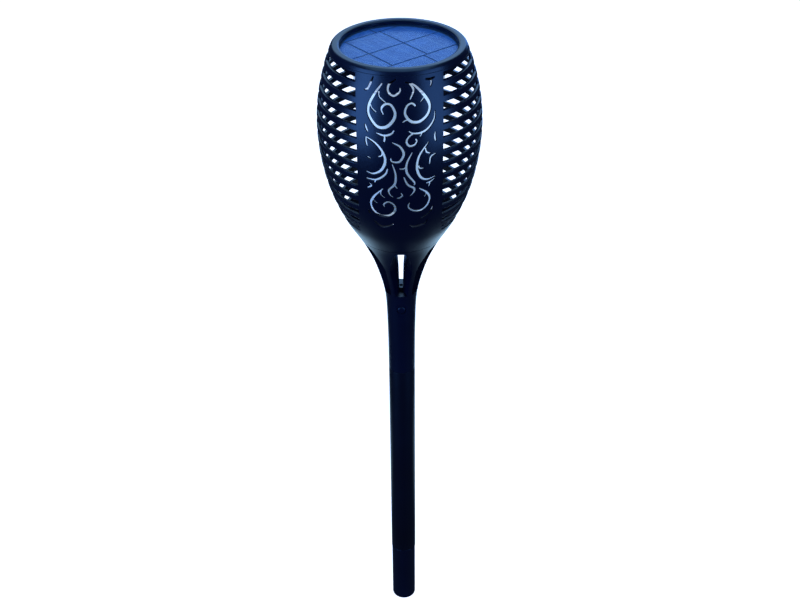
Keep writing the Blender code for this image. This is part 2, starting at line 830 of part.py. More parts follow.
def battery_housing(parent):
    """Pale round housing welded under the tray, with three screw bosses inside."""
    inner = HOUSING_RADIUS - HOUSING_WALL
    top_depth = TRAY_FLOOR_DEPTH + GAP
    boss_top_depth = HOUSING_FLOOR_DEPTH - BOSS_HEIGHT
    outline = [
        (HOUSING_RADIUS, top_depth),
        (HOUSING_RADIUS, HOUSING_FLOOR_DEPTH),
        (inner, HOUSING_FLOOR_DEPTH),
        (inner, top_depth),
    ]
    housing = add_object("battery_housing", turned_ring(outline), white_plastic(), parent=parent)
    low, high = height(HOUSING_FLOOR_DEPTH), height(boss_top_depth + 0.5 * MM)
    for number, place in enumerate(boss_places(), start=1):
        boss = rod(BOSS_RADIUS, *upright(place, HOUSING_FLOOR_DEPTH, boss_top_depth), 12)
        join_with(housing, boss, f"boss_{number}_tool")
        rib = block((BOSS_REACH, -1 * MM, low), (inner + 1 * MM, 1 * MM, high))
        turn = Matrix.Rotation(math.atan2(place.y, place.x), 4, "Z")
        bmesh.ops.transform(rib, matrix=turn, verts=rib.verts)
        join_with(housing, rib, f"boss_rib_{number}_tool")
        ends = upright(place, HOUSING_FLOOR_DEPTH + 1 * MM, boss_top_depth + 1 * MM)
        cut_with(housing, rod(SCREW_RADIUS + GAP, *ends, 10), f"boss_bore_{number}_tool")
    return housing


def housing_cover(parent):
    """Floor of the housing, with the bayonet spigot that carries the diffuser."""
    core_hole = 6.0 * MM
    outline = [
        (HOUSING_RADIUS, COVER_TOP_DEPTH),
        (HOUSING_RADIUS, COVER_BOTTOM_DEPTH),
        (SPIGOT_RADIUS, COVER_BOTTOM_DEPTH),
        (SPIGOT_RADIUS, SPIGOT_END_DEPTH),
        (SPIGOT_RADIUS - 1.5 * MM, SPIGOT_END_DEPTH),
        (SPIGOT_RADIUS - 1.5 * MM, COVER_BOTTOM_DEPTH),
        (core_hole, COVER_BOTTOM_DEPTH),
        (core_hole, COVER_TOP_DEPTH),
    ]
    cover = add_object("housing_cover", turned_ring(outline), white_plastic(), parent=parent)
    for number in range(3):
        angle = 2 * math.pi * number / 3
        tab = sector_outline(SPIGOT_RADIUS - 1 * MM, TAB_RADIUS, angle, BAYONET_ANGLE)
        builder = prism(tab, height(SPIGOT_END_DEPTH), height(SPIGOT_END_DEPTH - BAYONET_HEIGHT))
        join_with(cover, builder, f"tab_{number + 1}_tool")
    for number, place in enumerate(boss_places(), start=1):
        ends = upright(place, 30 * MM, 21 * MM)
        cut_with(cover, rod(SCREW_RADIUS + GAP, *ends, 10), f"cover_hole_{number}_tool")
    return cover


def cover_screws(parent):
    """Three pan-head screws that hold the cover on its bosses."""
    head_top = height(COVER_BOTTOM_DEPTH + GAP)
    outline = [
        (SCREW_HEAD_RADIUS - 0.5 * MM, -1.5 * MM),
        (SCREW_HEAD_RADIUS, -0.9 * MM),
        (SCREW_HEAD_RADIUS, 0.0),
        (SCREW_RADIUS, 0.0),
        (SCREW_RADIUS, 6.5 * MM),
        (0.4 * MM, 7.2 * MM),
    ]
    for number, place in enumerate(boss_places()):
        start = place + Vector((0, 0, head_top))
        screw = turned_solid(outline, 12)
        add_object(f"cover_screw_{number + 1}", screw, steel(), start, parent)


def battery_pack(parent):
    """Cell lying in its trough, with a spring contact at each end."""
    y, z = BATTERY_Y, height(BATTERY_DEPTH)
    half = BATTERY_HALF_LENGTH
    cell = turned_solid([
        (BATTERY_RADIUS - 0.6 * MM, -half),
        (BATTERY_RADIUS, -half + 0.6 * MM),
        (BATTERY_RADIUS, half - 1.6 * MM),
        (BATTERY_RADIUS - 0.6 * MM, half - 1.0 * MM),
        (2.6 * MM, half - 1.0 * MM),
        (2.4 * MM, half),
    ])
    turn = Matrix.Rotation(math.pi / 2, 4, "Y")
    bmesh.ops.transform(cell, matrix=turn, verts=cell.verts)
    add_object("battery", cell, battery_wrap(), (0, y, z), parent)

    low = (-20 * MM, y - 9 * MM, height(HOUSING_FLOOR_DEPTH - GAP))
    high = (20 * MM, y + 9 * MM, z - 1 * MM)
    holder = add_object("battery_holder", block(low, high), black_plastic(), parent=parent)
    bed = rod(BATTERY_RADIUS + GAP, (-30 * MM, y, z), (30 * MM, y, z), 24)
    cut_with(holder, bed, "bed_tool")

    for name, side in (("contact_left", -1), ("contact_right", 1)):
        near, far = side * (half + GAP), side * (half + 0.8 * MM)
        low = (min(near, far), y - 5 * MM, z - 5 * MM)
        high = (max(near, far), y + 5 * MM, z + 5 * MM)
        add_object(name, block(low, high), steel(), parent=parent)


def electronics(parent):
    """Charge and flame driver board with its chip and coil."""
    top, bottom = height(17.0 * MM), height(18.6 * MM)
    board = block((-13 * MM, -24 * MM, bottom), (13 * MM, -9 * MM, top))
    add_object("main_board", board, board_green(), parent=parent)
    chip = block((-8 * MM, -19 * MM, top + GAP), (-2 * MM, -14 * MM, top + 2 * MM))
    add_object("driver_chip", chip, black_plastic(), parent=parent)
    place = Vector((5 * MM, -16.5 * MM, 0))
    coil = rod(3 * MM, place + Vector((0, 0, top + GAP)), place + Vector((0, 0, top + 4 * MM)), 14)
    add_object("charge_coil", coil, rubber(), parent=parent)


def power_switch(parent):
    """Push switch behind the tray, pressed from below."""
    low = (-4 * MM, SWITCH_Y - 4 * MM, height(10.5 * MM))
    high = (4 * MM, SWITCH_Y + 4 * MM, height(6.9 * MM))
    body = add_object("switch_body", block(low, high), black_plastic(), parent=parent)
    start, end = upright(Vector((0, SWITCH_Y, 0)), 12 * MM, 8.2 * MM)
    cut_with(body, rod(BUTTON_RADIUS + GAP, start, end, 12), "switch_bore_tool")
    length = BUTTON_END_DEPTH - BUTTON_TOP_DEPTH
    outline = [
        (BUTTON_RADIUS - 0.5 * MM, 0.0),
        (BUTTON_RADIUS, 0.5 * MM),
        (BUTTON_RADIUS, length),
    ]
    start = (0, SWITCH_Y, height(BUTTON_END_DEPTH))
    add_object("power_button", turned_solid(outline, 12), rubber(), start, parent)


def led_column(parent):
    """Core tube with its wrapped light board and its raised light chips."""
    core_top = COVER_BOTTOM_DEPTH + GAP
    core = [
        (CORE_RADIUS, core_top),
        (CORE_RADIUS, CORE_END_DEPTH),
        (CORE_RADIUS - CORE_WALL, CORE_END_DEPTH),
        (CORE_RADIUS - CORE_WALL, core_top),
    ]
    add_object("led_core", turned_ring(core, 24), white_plastic(), parent=parent)
    cap_top = CORE_END_DEPTH + GAP
    disc("core_end_cap", CORE_RADIUS, cap_top, cap_top + 1.7 * MM, white_plastic(), parent, 24)

    inner, outer, proud = CORE_RADIUS + GAP, CORE_RADIUS + 1.1 * MM, 0.9 * MM
    sides = 2 * LED_COLUMNS
    top, bottom = LED_TOP_DEPTH, LED_BOTTOM_DEPTH
    rows = 2 * LED_ROWS + 1
    depths = [top + (bottom - top) * i / rows for i in range(rows + 1)]
    outline = [(outer, d) for d in depths] + [(inner, bottom), (inner, top)]
    builder = turned_ring(outline, sides)
    builder.faces.ensure_lookup_table()
    per_side = len(outline)
    chips = []
    for side in range(0, sides, 2):
        for row in range(1, rows, 2):
            chips.append(builder.faces[side * per_side + row])
    bmesh.ops.recalc_face_normals(builder, faces=builder.faces)
    bmesh.ops.inset_individual(builder, faces=chips, thickness=0.5 * MM)
    raised = bmesh.ops.extrude_discrete_faces(builder, faces=chips)["faces"]
    for face in raised:
        bmesh.ops.translate(builder, vec=face.normal * proud, verts=face.verts)
    add_object("led_board", builder, white_plastic(), parent=parent)


def diffuser_tube(parent):
    """Frosted tube with three inward lugs, and the cap that closes its lower end."""
    inner = DIFFUSER_RADIUS - DIFFUSER_WALL
    outline = [
        (DIFFUSER_RADIUS, DIFFUSER_TOP_DEPTH),
        (DIFFUSER_RADIUS, DIFFUSER_END_DEPTH),
        (inner, DIFFUSER_END_DEPTH),
        (inner, DIFFUSER_TOP_DEPTH),
    ]
    tube = add_object("diffuser", turned_ring(outline), frosted_plastic(), parent=parent)
    for number in range(3):
        angle = 2 * math.pi * number / 3
        lug = sector_outline(SPIGOT_RADIUS + 0.4 * MM, inner + 0.7 * MM, angle, BAYONET_ANGLE)
        lug_bottom = SPIGOT_END_DEPTH - BAYONET_HEIGHT - 0.4 * MM
        builder = prism(lug, height(lug_bottom), height(lug_bottom - BAYONET_HEIGHT))
        join_with(tube, builder, f"lug_{number + 1}_tool")
    cap = [
        (DIFFUSER_RADIUS - 1.5 * MM, height(DIFFUSER_CAP_DEPTH)),
        (DIFFUSER_RADIUS, height(DIFFUSER_CAP_DEPTH - 1.5 * MM)),
        (DIFFUSER_RADIUS, height(DIFFUSER_END_DEPTH + GAP)),
        (inner - GAP, height(DIFFUSER_END_DEPTH + GAP)),
        (inner - GAP, height(DIFFUSER_END_DEPTH - 4 * MM)),
    ]
    add_object("diffuser_end_cap", turned_solid(cap, TURN_SEGMENTS), white_plastic(), parent=parent)


def leads(parent):
    """Internal leads between the panel, the battery, the switch, the board and the lights."""
    radius = 0.6 * MM
    board_top = height(17.0 * MM) + radius + GAP
    panel_under = height(6.5 * MM) - radius - GAP
    y, z = BATTERY_Y, height(BATTERY_DEPTH)
    end = BATTERY_HALF_LENGTH + 0.8 * MM + radius + GAP
    routes = {
        "panel_lead_red": (red_insulation(), [
            (-6 * MM, -6 * MM, panel_under), (-9 * MM, -10 * MM, panel_under - 1 * MM),
            (-11 * MM, -14 * MM, height(11 * MM)), (-11 * MM, -20 * MM, board_top + 1 * MM),
            (-11 * MM, -23 * MM, board_top)]),
        "panel_lead_black": (black_insulation(), [
            (6 * MM, -6 * MM, panel_under), (9 * MM, -10 * MM, panel_under - 1 * MM),
            (11 * MM, -14 * MM, height(11 * MM)), (11 * MM, -20 * MM, board_top + 1 * MM),
            (11 * MM, -23 * MM, board_top)]),
        "battery_lead_red": (red_insulation(), [
            (end, y, z + 3 * MM), (end - 0.2 * MM, y - 7 * MM, z + 4 * MM),
            (24 * MM, -8 * MM, height(11 * MM)), (16 * MM, -14 * MM, height(13 * MM)),
            (11.5 * MM, -11 * MM, board_top)]),
        "battery_lead_black": (black_insulation(), [
            (-end, y, z + 3 * MM), (-end + 0.2 * MM, y - 7 * MM, z + 4 * MM),
            (-24 * MM, -8 * MM, height(11 * MM)), (-16 * MM, -14 * MM, height(13 * MM)),
            (-11.5 * MM, -11 * MM, board_top)]),
        "light_lead": (black_insulation(), [
            (0, -10.5 * MM, height(18.6 * MM) - radius - GAP),
            (0, -7.5 * MM, height(20.6 * MM)), (0, -6 * MM, height(21.2 * MM))]),
    }
    for name, (surface, points) in routes.items():
        wire(name, points, radius, surface, parent)


def panel_gasket(parent):
    """Rubber ring that seals the panel board on the tray."""
    inner, top, bottom = PANEL_RADIUS - TRAY_WALL, 6.8 * MM, 7.7 * MM
    outline = [(PANEL_RADIUS, top), (PANEL_RADIUS, bottom), (inner, bottom), (inner, top)]
    add_object("panel_gasket", turned_ring(outline), rubber(), parent=parent)


def light_unit(parent):
    cap_ring(parent)
    disc("panel_cover", PANEL_RADIUS, 3.5 * MM, 4.4 * MM, clear_cover(), parent)
    solar_cells(parent)
    disc("panel_board", PANEL_RADIUS, 5.3 * MM, 6.5 * MM, board_green(), parent)
    panel_gasket(parent)
    cap_tray(parent)
    battery_housing(parent)
    battery_pack(parent)
    electronics(parent)
    power_switch(parent)
    housing_cover(parent)
    cover_screws(parent)
    led_column(parent)
    diffuser_tube(parent)
    leads(parent)


def build():
    clear_scene()
    torch = bpy.data.objects.new("torch", None)
    bpy.context.scene.collection.objects.link(torch)
    ground_stake(torch)
    pole_tube(torch)
    neck(torch)
    lock_button(torch)
    lock_spring(torch)
    basket_half("basket_front_half", 0.0, torch)
    basket_half("basket_rear_half", math.pi, torch)
    light_unit(torch)


build()
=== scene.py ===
"""Looks of the solar garden torch: fine surfaces, materials, light and camera.

Metres, +Z up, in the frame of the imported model. Depths are measured downward from the rim.
The front filigree panel faces -Y, and the rear half of the basket is the front one turned round.
"""

import math

import bmesh
import bpy
import numpy as np
from mathutils import Matrix, Vector
from mathutils.geometry import delaunay_2d_cdt

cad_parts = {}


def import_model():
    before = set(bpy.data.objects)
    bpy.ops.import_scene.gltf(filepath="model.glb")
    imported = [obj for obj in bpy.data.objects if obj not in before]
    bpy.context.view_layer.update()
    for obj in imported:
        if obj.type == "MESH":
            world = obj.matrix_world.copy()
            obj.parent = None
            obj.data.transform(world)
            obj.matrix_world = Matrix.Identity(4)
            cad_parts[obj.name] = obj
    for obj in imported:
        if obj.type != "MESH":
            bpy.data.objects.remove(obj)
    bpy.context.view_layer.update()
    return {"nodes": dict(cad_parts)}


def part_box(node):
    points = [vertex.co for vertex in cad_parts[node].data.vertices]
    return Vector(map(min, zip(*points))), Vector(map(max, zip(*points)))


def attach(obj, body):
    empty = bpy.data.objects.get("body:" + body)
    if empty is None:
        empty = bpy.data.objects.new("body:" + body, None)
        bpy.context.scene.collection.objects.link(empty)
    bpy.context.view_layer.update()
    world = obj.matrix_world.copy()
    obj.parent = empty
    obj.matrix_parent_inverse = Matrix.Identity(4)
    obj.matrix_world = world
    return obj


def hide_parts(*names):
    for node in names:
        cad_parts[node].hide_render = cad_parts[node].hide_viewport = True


MM = 0.001

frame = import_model()

# Levels and radii that come from the frame
RIM_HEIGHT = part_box("cap_ring")[1].z
RING_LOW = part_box("cap_ring")[0].z
COVER_LOW, COVER_HIGH = (corner.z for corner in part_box("panel_cover"))
COVER_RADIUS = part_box("panel_cover")[1].x
POLE_LOW, POLE_HIGH = (corner.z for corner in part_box("pole_tube"))
POLE_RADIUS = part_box("pole_tube")[1].x
STAKE_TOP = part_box("ground_stake")[1].z
BASKET_LOW, BASKET_HIGH = (corner.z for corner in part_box("basket_front_half"))
NECK_LOW, NECK_HIGH = (corner.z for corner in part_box("neck"))
DIFFUSER_LOW, DIFFUSER_HIGH = (corner.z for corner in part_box("diffuser"))
DIFFUSER_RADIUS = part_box("diffuser")[1].x
END_CAP_LOW, END_CAP_HIGH = (corner.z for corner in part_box("diffuser_end_cap"))
TRAY_LOW, TRAY_HIGH = (corner.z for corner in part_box("cap_tray"))
TRAY_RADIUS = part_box("cap_tray")[1].x
HOUSING_LOW, HOUSING_HIGH = (corner.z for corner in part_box("battery_housing"))
HOUSING_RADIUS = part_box("battery_housing")[1].x
BUTTON_LOW, BUTTON_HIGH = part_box("power_button")
SNAP_LOW, SNAP_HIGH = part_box("lock_button")

# Outside of the head, depth and radius: the curve that the CAD model turns
HEAD_OUTLINE = [
    (0.0 * MM, 46.9 * MM),
    (16.0 * MM, 52.4 * MM),
    (39.0 * MM, 57.5 * MM),
    (62.0 * MM, 59.0 * MM),
    (86.0 * MM, 56.9 * MM),
    (110.0 * MM, 51.3 * MM),
    (133.0 * MM, 41.8 * MM),
    (156.5 * MM, 28.3 * MM),
    (180.0 * MM, 18.7 * MM),
    (203.5 * MM, 12.7 * MM),
    (235.0 * MM, 11.0 * MM),
    (278.0 * MM, 10.6 * MM),
]

# Basket
PANEL_HALF_WIDTH = 29.5 * MM
SIDE_RIB_HALF_WIDTH = 5.0 * MM
SIDE_RIB_RECESS = 0.8 * MM
SEAM_HALF_GAP = 0.15 * MM
BASKET_WALL = 2.4 * MM
PANEL_WALL = 1.3 * MM
SLOT_COUNT = 14
FIRST_SLOT_DEPTH = 5.2 * MM
SLOT_PITCH = 9.28 * MM
SLOT_HEIGHT = 5.1 * MM
SLAT_EDGE_ROUND = 0.45 * MM
CUT_EDGE_ROUND = 0.15 * MM
TOP_EDGE_ROUND = 0.08 * MM
PANEL_GRID = 2.3 * MM
CUT_STEP = 0.9 * MM
CUT_DRAFT = 0.4 * MM
SLOT_COLUMNS = 16

# Neck
WINDOW_COUNT = 6
WINDOW_SILL_DEPTH = 202.0 * MM
WINDOW_HEAD_DEPTH = 153.0 * MM
WINDOW_HALF_WIDTH = 8.4 * MM
FIN_THICKNESS = 3.6 * MM
WINDOW_NEAR_RADIUS = 6.0 * MM
WINDOW_REACH = 36.0 * MM
SHELF_DEPTH = 204.2 * MM
SHELF_DOME_RADIUS = 4.0 * MM
SHELF_DOME_DEPTH = 199.3 * MM
DRAIN_RADIUS = 1.5 * MM
SOCKET_RADIUS = 9.2 * MM
LOCK_DEPTH = 216.0 * MM
LOCK_HOLE_RADIUS = 3.5 * MM
LOCK_DISH_RADIUS = 5.9 * MM
LOCK_DISH_DEPTH = 0.7 * MM

# Pole and stake
POLE_WALL = 0.5 * MM
SWAGE_RADIUS = 8.9 * MM
SHANK_RADIUS = 10.3 * MM
COLLAR_LOW = 61.0 * MM
COLLAR_HIGH = 62.4 * MM
PLUG_RADIUS = 9.8 * MM
PLUG_TOP = 70.4 * MM
BLADE_HALF_WIDTH = 9.4 * MM
BLADE_HALF_THICKNESS = 1.5 * MM

# Light unit
RIM_INNER_RADIUS = 41.2 * MM
RING_BORE = 42.6 * MM
RING_SKIRT_RADIUS = 44.4 * MM
RING_LIP_DEPTH = 3.82 * MM
TRAY_WALL = 1.4 * MM
TRAY_OPENING_RADIUS = 28.6 * MM
BUTTON_HOLE_RADIUS = 2.6 * MM
HOUSING_WALL = 1.6 * MM
BOSS_COUNT = 3
BOSS_REACH = 20.5 * MM
BOSS_HEIGHT = 6.0 * MM
BOSS_RADIUS = 3.0 * MM
BOSS_BORE_RADIUS = 1.5 * MM
RIB_HALF_THICKNESS = 1.0 * MM
DIFFUSER_WALL = 1.4 * MM

# Camera, pitch downward from the horizontal
CAMERA_PLACE = (-0.0011, -0.7825, 0.8616)
CAMERA_PITCH = 34.5735
CAMERA_ROLL = -0.583
LENS_LENGTH = 54.22

ROUND_SEGMENTS = 144


def height(depth):
    """Height of a level that lies this far below the rim."""
    return RIM_HEIGHT - depth


def smooth_value(points, x):
    """Value at x of a smooth curve through the points, a cubic between each two."""
    last = len(points) - 1
    index = 0
    while index < last - 1 and x > points[index + 1][0]:
        index += 1

    def slope(i):
        low, high = max(i - 1, 0), min(i + 1, last)
        return (points[high][1] - points[low][1]) / (points[high][0] - points[low][0])

    (x0, y0), (x1, y1) = points[index], points[index + 1]
    span = x1 - x0
    t = (x - x0) / span
    start = (1 + 2 * t) * (1 - t) ** 2 * y0 + t * (1 - t) ** 2 * span * slope(index)
    end = t * t * (3 - 2 * t) * y1 + t * t * (t - 1) * span * slope(index + 1)
    return start + end


def head_radius(depth):
    return smooth_value(HEAD_OUTLINE, depth)


def head_normal(across, back, depth):
    """Outward direction of the head's surface at a point."""
    step = 0.5 * MM
    slope = (head_radius(depth + step) - head_radius(depth - step)) / (2 * step)
    around = Vector((across, back, 0)).normalized()
    return (around + Vector((0, 0, slope))).normalized()


# Materials


def new_material(name):
    made = bpy.data.materials.new(name)
    made.use_nodes = True
    return made, made.node_tree.nodes, made.node_tree.links


def add_noise(nodes, links, scale, detail, stretch=(1, 1, 1)):
    """Noise in the object's own coordinates, so that it moves with the piece."""
    coordinates = nodes.new("ShaderNodeTexCoord")
    mapping = nodes.new("ShaderNodeMapping")
    mapping.inputs["Scale"].default_value = stretch
    noise = nodes.new("ShaderNodeTexNoise")
    noise.inputs["Scale"].default_value = scale
    noise.inputs["Detail"].default_value = detail
    links.new(coordinates.outputs["Object"], mapping.inputs["Vector"])
    links.new(mapping.outputs["Vector"], noise.inputs["Vector"])
    return noise.outputs["Fac"]


def add_ramp(nodes, links, source, low, high, start=0.3, end=0.7):
    """A colour that runs from low to high as source goes from start to end."""
    ramp = nodes.new("ShaderNodeValToRGB")
    ramp.color_ramp.elements[0].position = start
    ramp.color_ramp.elements[0].color = (*low, 1.0)
    ramp.color_ramp.elements[1].position = end
    ramp.color_ramp.elements[1].color = (*high, 1.0)
    links.new(source, ramp.inputs["Fac"])
    return ramp.outputs["Color"]


def add_range(nodes, links, source, low, high):
    span = nodes.new("ShaderNodeMapRange")
    span.inputs["From Min"].default_value = 0.3
    span.inputs["From Max"].default_value = 0.7
    span.inputs["To Min"].default_value = low
    span.inputs["To Max"].default_value = high
    links.new(source, span.inputs["Value"])
    return span.outputs["Result"]


def add_bump(nodes, links, source, strength, distance):
    bump = nodes.new("ShaderNodeBump")
    bump.inputs["Strength"].default_value = strength
    bump.inputs["Distance"].default_value = distance
    links.new(source, bump.inputs["Height"])
    return bump.outputs["Normal"]


def plain_surface(name, low, high, rough, metallic=0.0, grain=900.0, bump=0.04, blotch=18.0):
    """A surface whose colour and gloss vary a little, with a fine grain in its relief."""
    made, nodes, links = new_material(name)
    shader = nodes["Principled BSDF"]
    broad = add_noise(nodes, links, blotch, 3.0)
    fine = add_noise(nodes, links, grain, 2.0)
    links.new(add_ramp(nodes, links, broad, low, high), shader.inputs["Base Color"])
    links.new(add_range(nodes, links, broad, rough[0], rough[1]), shader.inputs["Roughness"])
    links.new(add_bump(nodes, links, fine, bump, 0.1 * MM), shader.inputs["Normal"])
    shader.inputs["Metallic"].default_value = metallic
    return made


def white_moulding_painted_glow():
    """Pale moulding that glows with painted light, an even emission though it is no lamp."""
    made = plain_surface("white_moulding_painted_glow", (0.66, 0.68, 0.69), (0.76, 0.77, 0.78), (0.4, 0.5))
    shader = made.node_tree.nodes["Principled BSDF"]
    # Painted light: a faint bluish glow that brightens the pale parts inside the head, where they would lie
    # in shade.
    shader.inputs["Emission Color"].default_value = (0.60, 0.78, 1.0, 1.0)
    shader.inputs["Emission Strength"].default_value = 0.5
    return made


def moulded_black():
    made = plain_surface("moulded_black_plastic", (0.0005, 0.0022, 0.012), (0.0008, 0.0034, 0.018),
                         (0.27, 0.36))
    made.node_tree.nodes["Principled BSDF"].inputs["IOR"].default_value = 1.5
    return made


def coated_tube():
    made = plain_surface("powder_coated_steel", (0.0006, 0.0012, 0.006), (0.0009, 0.0018, 0.009),
                         (0.30, 0.38), grain=1500.0, bump=0.06)
    made.node_tree.nodes["Principled BSDF"].inputs["IOR"].default_value = 1.5
    return made


def painted_tube_light(nodes, links):
    """Strength of the painted light on the frosted plastic: strongest to the sides and toward the top,
    where the side lamps shine in through the basket.
    """
    coordinates = nodes.new("ShaderNodeTexCoord")
    split = nodes.new("ShaderNodeSeparateXYZ")
    links.new(coordinates.outputs["Object"], split.inputs["Vector"])
    aside = nodes.new("ShaderNodeMath")
    aside.operation = "ABSOLUTE"
    links.new(split.outputs["X"], aside.inputs[0])
    spans = [
        (aside.outputs["Value"], 2 * MM, 20 * MM, 0.45, 1.0),
        (split.outputs["Z"], DIFFUSER_LOW, DIFFUSER_LOW + 65 * MM, 0.35, 0.80),
    ]
    factors = []
    for source, start, end, low, high in spans:
        span = nodes.new("ShaderNodeMapRange")
        span.interpolation_type = "SMOOTHSTEP"
        span.inputs["From Min"].default_value = start
        span.inputs["From Max"].default_value = end
        span.inputs["To Min"].default_value = low
        span.inputs["To Max"].default_value = high
        links.new(source, span.inputs["Value"])
        factors.append(span.outputs["Result"])
    product = nodes.new("ShaderNodeMath")
    product.operation = "MULTIPLY"
    links.new(factors[0], product.inputs[0])
    links.new(factors[1], product.inputs[1])
    return product.outputs["Value"]


def frosted_tube():
    """Milky plastic, a little clearer in streaks along the tube, that glows with painted light: an emission
    that stands in for light falling on it through the basket.
    """
    made, nodes, links = new_material("frosted_diffuser")
    shader = nodes["Principled BSDF"]
    streaks = add_noise(nodes, links, 60.0, 3.0, (1, 1, 0.15))
    fine = add_noise(nodes, links, 1400.0, 2.0)
    colour = add_ramp(nodes, links, streaks, (0.62, 0.76, 0.90), (0.74, 0.86, 0.97))
    links.new(colour, shader.inputs["Base Color"])
    links.new(add_range(nodes, links, streaks, 0.45, 0.6), shader.inputs["Roughness"])
    links.new(add_bump(nodes, links, fine, 0.08, 0.1 * MM), shader.inputs["Normal"])
    # Painted light: a bluish emission in place of the light that falls on the tube through the basket's
    # openings.
    shader.inputs["Emission Color"].default_value = (0.58, 0.82, 1.0, 1.0)
    links.new(painted_tube_light(nodes, links), shader.inputs["Emission Strength"])
    return made


def clear_sheet():
    made, nodes, links = new_material("clear_panel_cover")
    shader = nodes["Principled BSDF"]
    broad = add_noise(nodes, links, 25.0, 3.0)
    colour = add_ramp(nodes, links, broad, (0.20, 0.36, 0.62), (0.26, 0.44, 0.72))
    links.new(colour, shader.inputs["Base Color"])
    links.new(add_range(nodes, links, broad, 0.06, 0.12), shader.inputs["Roughness"])
    shader.inputs["Alpha"].default_value = 0.07
    shader.inputs["Specular IOR Level"].default_value = 0.25
    return made


def silicon_cell():
    """Blue crystalline silicon with fine printed fingers and a few wider bars."""
    made, nodes, links = new_material("crystalline_silicon")
    shader = nodes["Principled BSDF"]
    coordinates = nodes.new("ShaderNodeTexCoord")
    turn = nodes.new("ShaderNodeMapping")
    turn.inputs["Rotation"].default_value = (0, 0, math.radians(51.5))
    links.new(coordinates.outputs["Object"], turn.inputs["Vector"])
    crystals = nodes.new("ShaderNodeTexVoronoi")
    crystals.inputs["Scale"].default_value = 260.0
    links.new(turn.outputs["Vector"], crystals.inputs["Vector"])
    tint = add_ramp(nodes, links, crystals.outputs["Color"], (0.018, 0.080, 0.29),
                    (0.034, 0.125, 0.39), 0.2, 0.9)
    lines = []
    for axis, pitch, share in (("X", 1.6 * MM, 0.10), ("Y", 12.9 * MM, 0.05)):
        wave = nodes.new("ShaderNodeTexWave")
        wave.bands_direction = axis
        wave.wave_profile = "SAW"
        wave.inputs["Scale"].default_value = 1 / (pitch * 20) * 2 * math.pi
        links.new(turn.outputs["Vector"], wave.inputs["Vector"])
        lines.append(add_ramp(nodes, links, wave.outputs["Fac"], (1, 1, 1), (0, 0, 0),
                              share, share + 0.04))
    both = nodes.new("ShaderNodeMix")
    both.data_type = "RGBA"
    both.blend_type = "LIGHTEN"
    both.inputs["Factor"].default_value = 1.0
    links.new(lines[0], both.inputs["A"])
    links.new(lines[1], both.inputs["B"])
    finish = nodes.new("ShaderNodeMix")
    finish.data_type = "RGBA"
    links.new(both.outputs["Result"], finish.inputs["Factor"])
    links.new(tint, finish.inputs["A"])
    finish.inputs["B"].default_value = (0.065, 0.16, 0.36, 1.0)
    links.new(finish.outputs["Result"], shader.inputs["Base Color"])
    shader.inputs["Roughness"].default_value = 0.30
    shader.inputs["Specular IOR Level"].default_value = 0.25
    return made


def make_materials():
    return {
        "black": moulded_black(),
        "tube": coated_tube(),
        "frosted": frosted_tube(),
        "clear": clear_sheet(),
        "silicon": silicon_cell(),
        "white": white_moulding_painted_glow(),
        "board": plain_surface("panel_backing", (0.003, 0.010, 0.035), (0.005, 0.014, 0.045), (0.4, 0.5)),
        "circuit": plain_surface("circuit_board", (0.01, 0.09, 0.04), (0.02, 0.13, 0.06), (0.35, 0.5)),
        "steel": plain_surface("bright_steel", (0.50, 0.51, 0.53), (0.62, 0.63, 0.65), (0.22, 0.36), 1.0),
        "rubber": plain_surface("soft_rubber", (0.015, 0.015, 0.018), (0.03, 0.03, 0.034), (0.7, 0.85)),
        "wrap": plain_surface("battery_wrap", (0.02, 0.12, 0.07), (0.03, 0.18, 0.10), (0.25, 0.4)),
        "red": plain_surface("red_insulation", (0.40, 0.015, 0.015), (0.52, 0.03, 0.03), (0.4, 0.5)),
        "lead": plain_surface("black_insulation", (0.008, 0.008, 0.009), (0.014, 0.014, 0.016), (0.4, 0.5)),
    }


# Mesh tools


def finish_mesh(name, builder, surface, sharp=32.0):
    """Turn a bmesh into a smooth-shaded object with its faces pointing out."""
    bmesh.ops.recalc_face_normals(builder, faces=builder.faces)
    mesh = bpy.data.meshes.new(name)
    builder.to_mesh(mesh)
    builder.free()
    mesh.shade_smooth()
    mesh.set_sharp_from_angle(angle=math.radians(sharp))
    mesh.materials.append(surface)
    made = bpy.data.objects.new(name, mesh)
    bpy.context.scene.collection.objects.link(made)
    return made


def rounded(corners, steps=4):
    """Outline with an arc at each corner that has a radius: (r, z, radius)."""
    outline = []
    count = len(corners)
    for i, (r, z, radius) in enumerate(corners):
        here = Vector((r, z))
        if radius <= 0:
            outline.append(here)
            continue
        before = Vector(corners[i - 1][:2]) - here
        after = Vector(corners[(i + 1) % count][:2]) - here
        opening = before.angle(after)
        reach = radius / math.tan(opening / 2)
        reach = min(reach, 0.48 * before.length, 0.48 * after.length)
        radius = reach * math.tan(opening / 2)
        middle = here + (before.normalized() + after.normalized()).normalized() * (
            radius / math.sin(opening / 2))
        first = here + before.normalized() * reach - middle
        last = here + after.normalized() * reach - middle
        sweep = first.angle_signed(last)
        for k in range(steps + 1):
            outline.append(middle + Matrix.Rotation(-sweep * k / steps, 2) @ first)
    return [(p.x, p.y) for p in outline]


def turned(outline, segments=ROUND_SEGMENTS):
    """Revolve a closed outline of (radius, height). Points on the axis become one vertex."""
    builder = bmesh.new()
    rings = []
    for r, z in outline:
        if r < 1e-6:
            rings.append([builder.verts.new((0, 0, z))])
            continue
        angles = [2 * math.pi * k / segments for k in range(segments)]
        rings.append([builder.verts.new((r * math.cos(a), r * math.sin(a), z)) for a in angles])
    for here, there in zip(rings, rings[1:] + rings[:1]):
        for k in range(segments):
            corners = []
            for ring, step in ((here, k), (here, k + 1), (there, k + 1), (there, k)):
                corner = ring[step % len(ring)]
                if corner not in corners:
                    corners.append(corner)
            if len(corners) > 2:
                builder.faces.new(corners)
    return builder


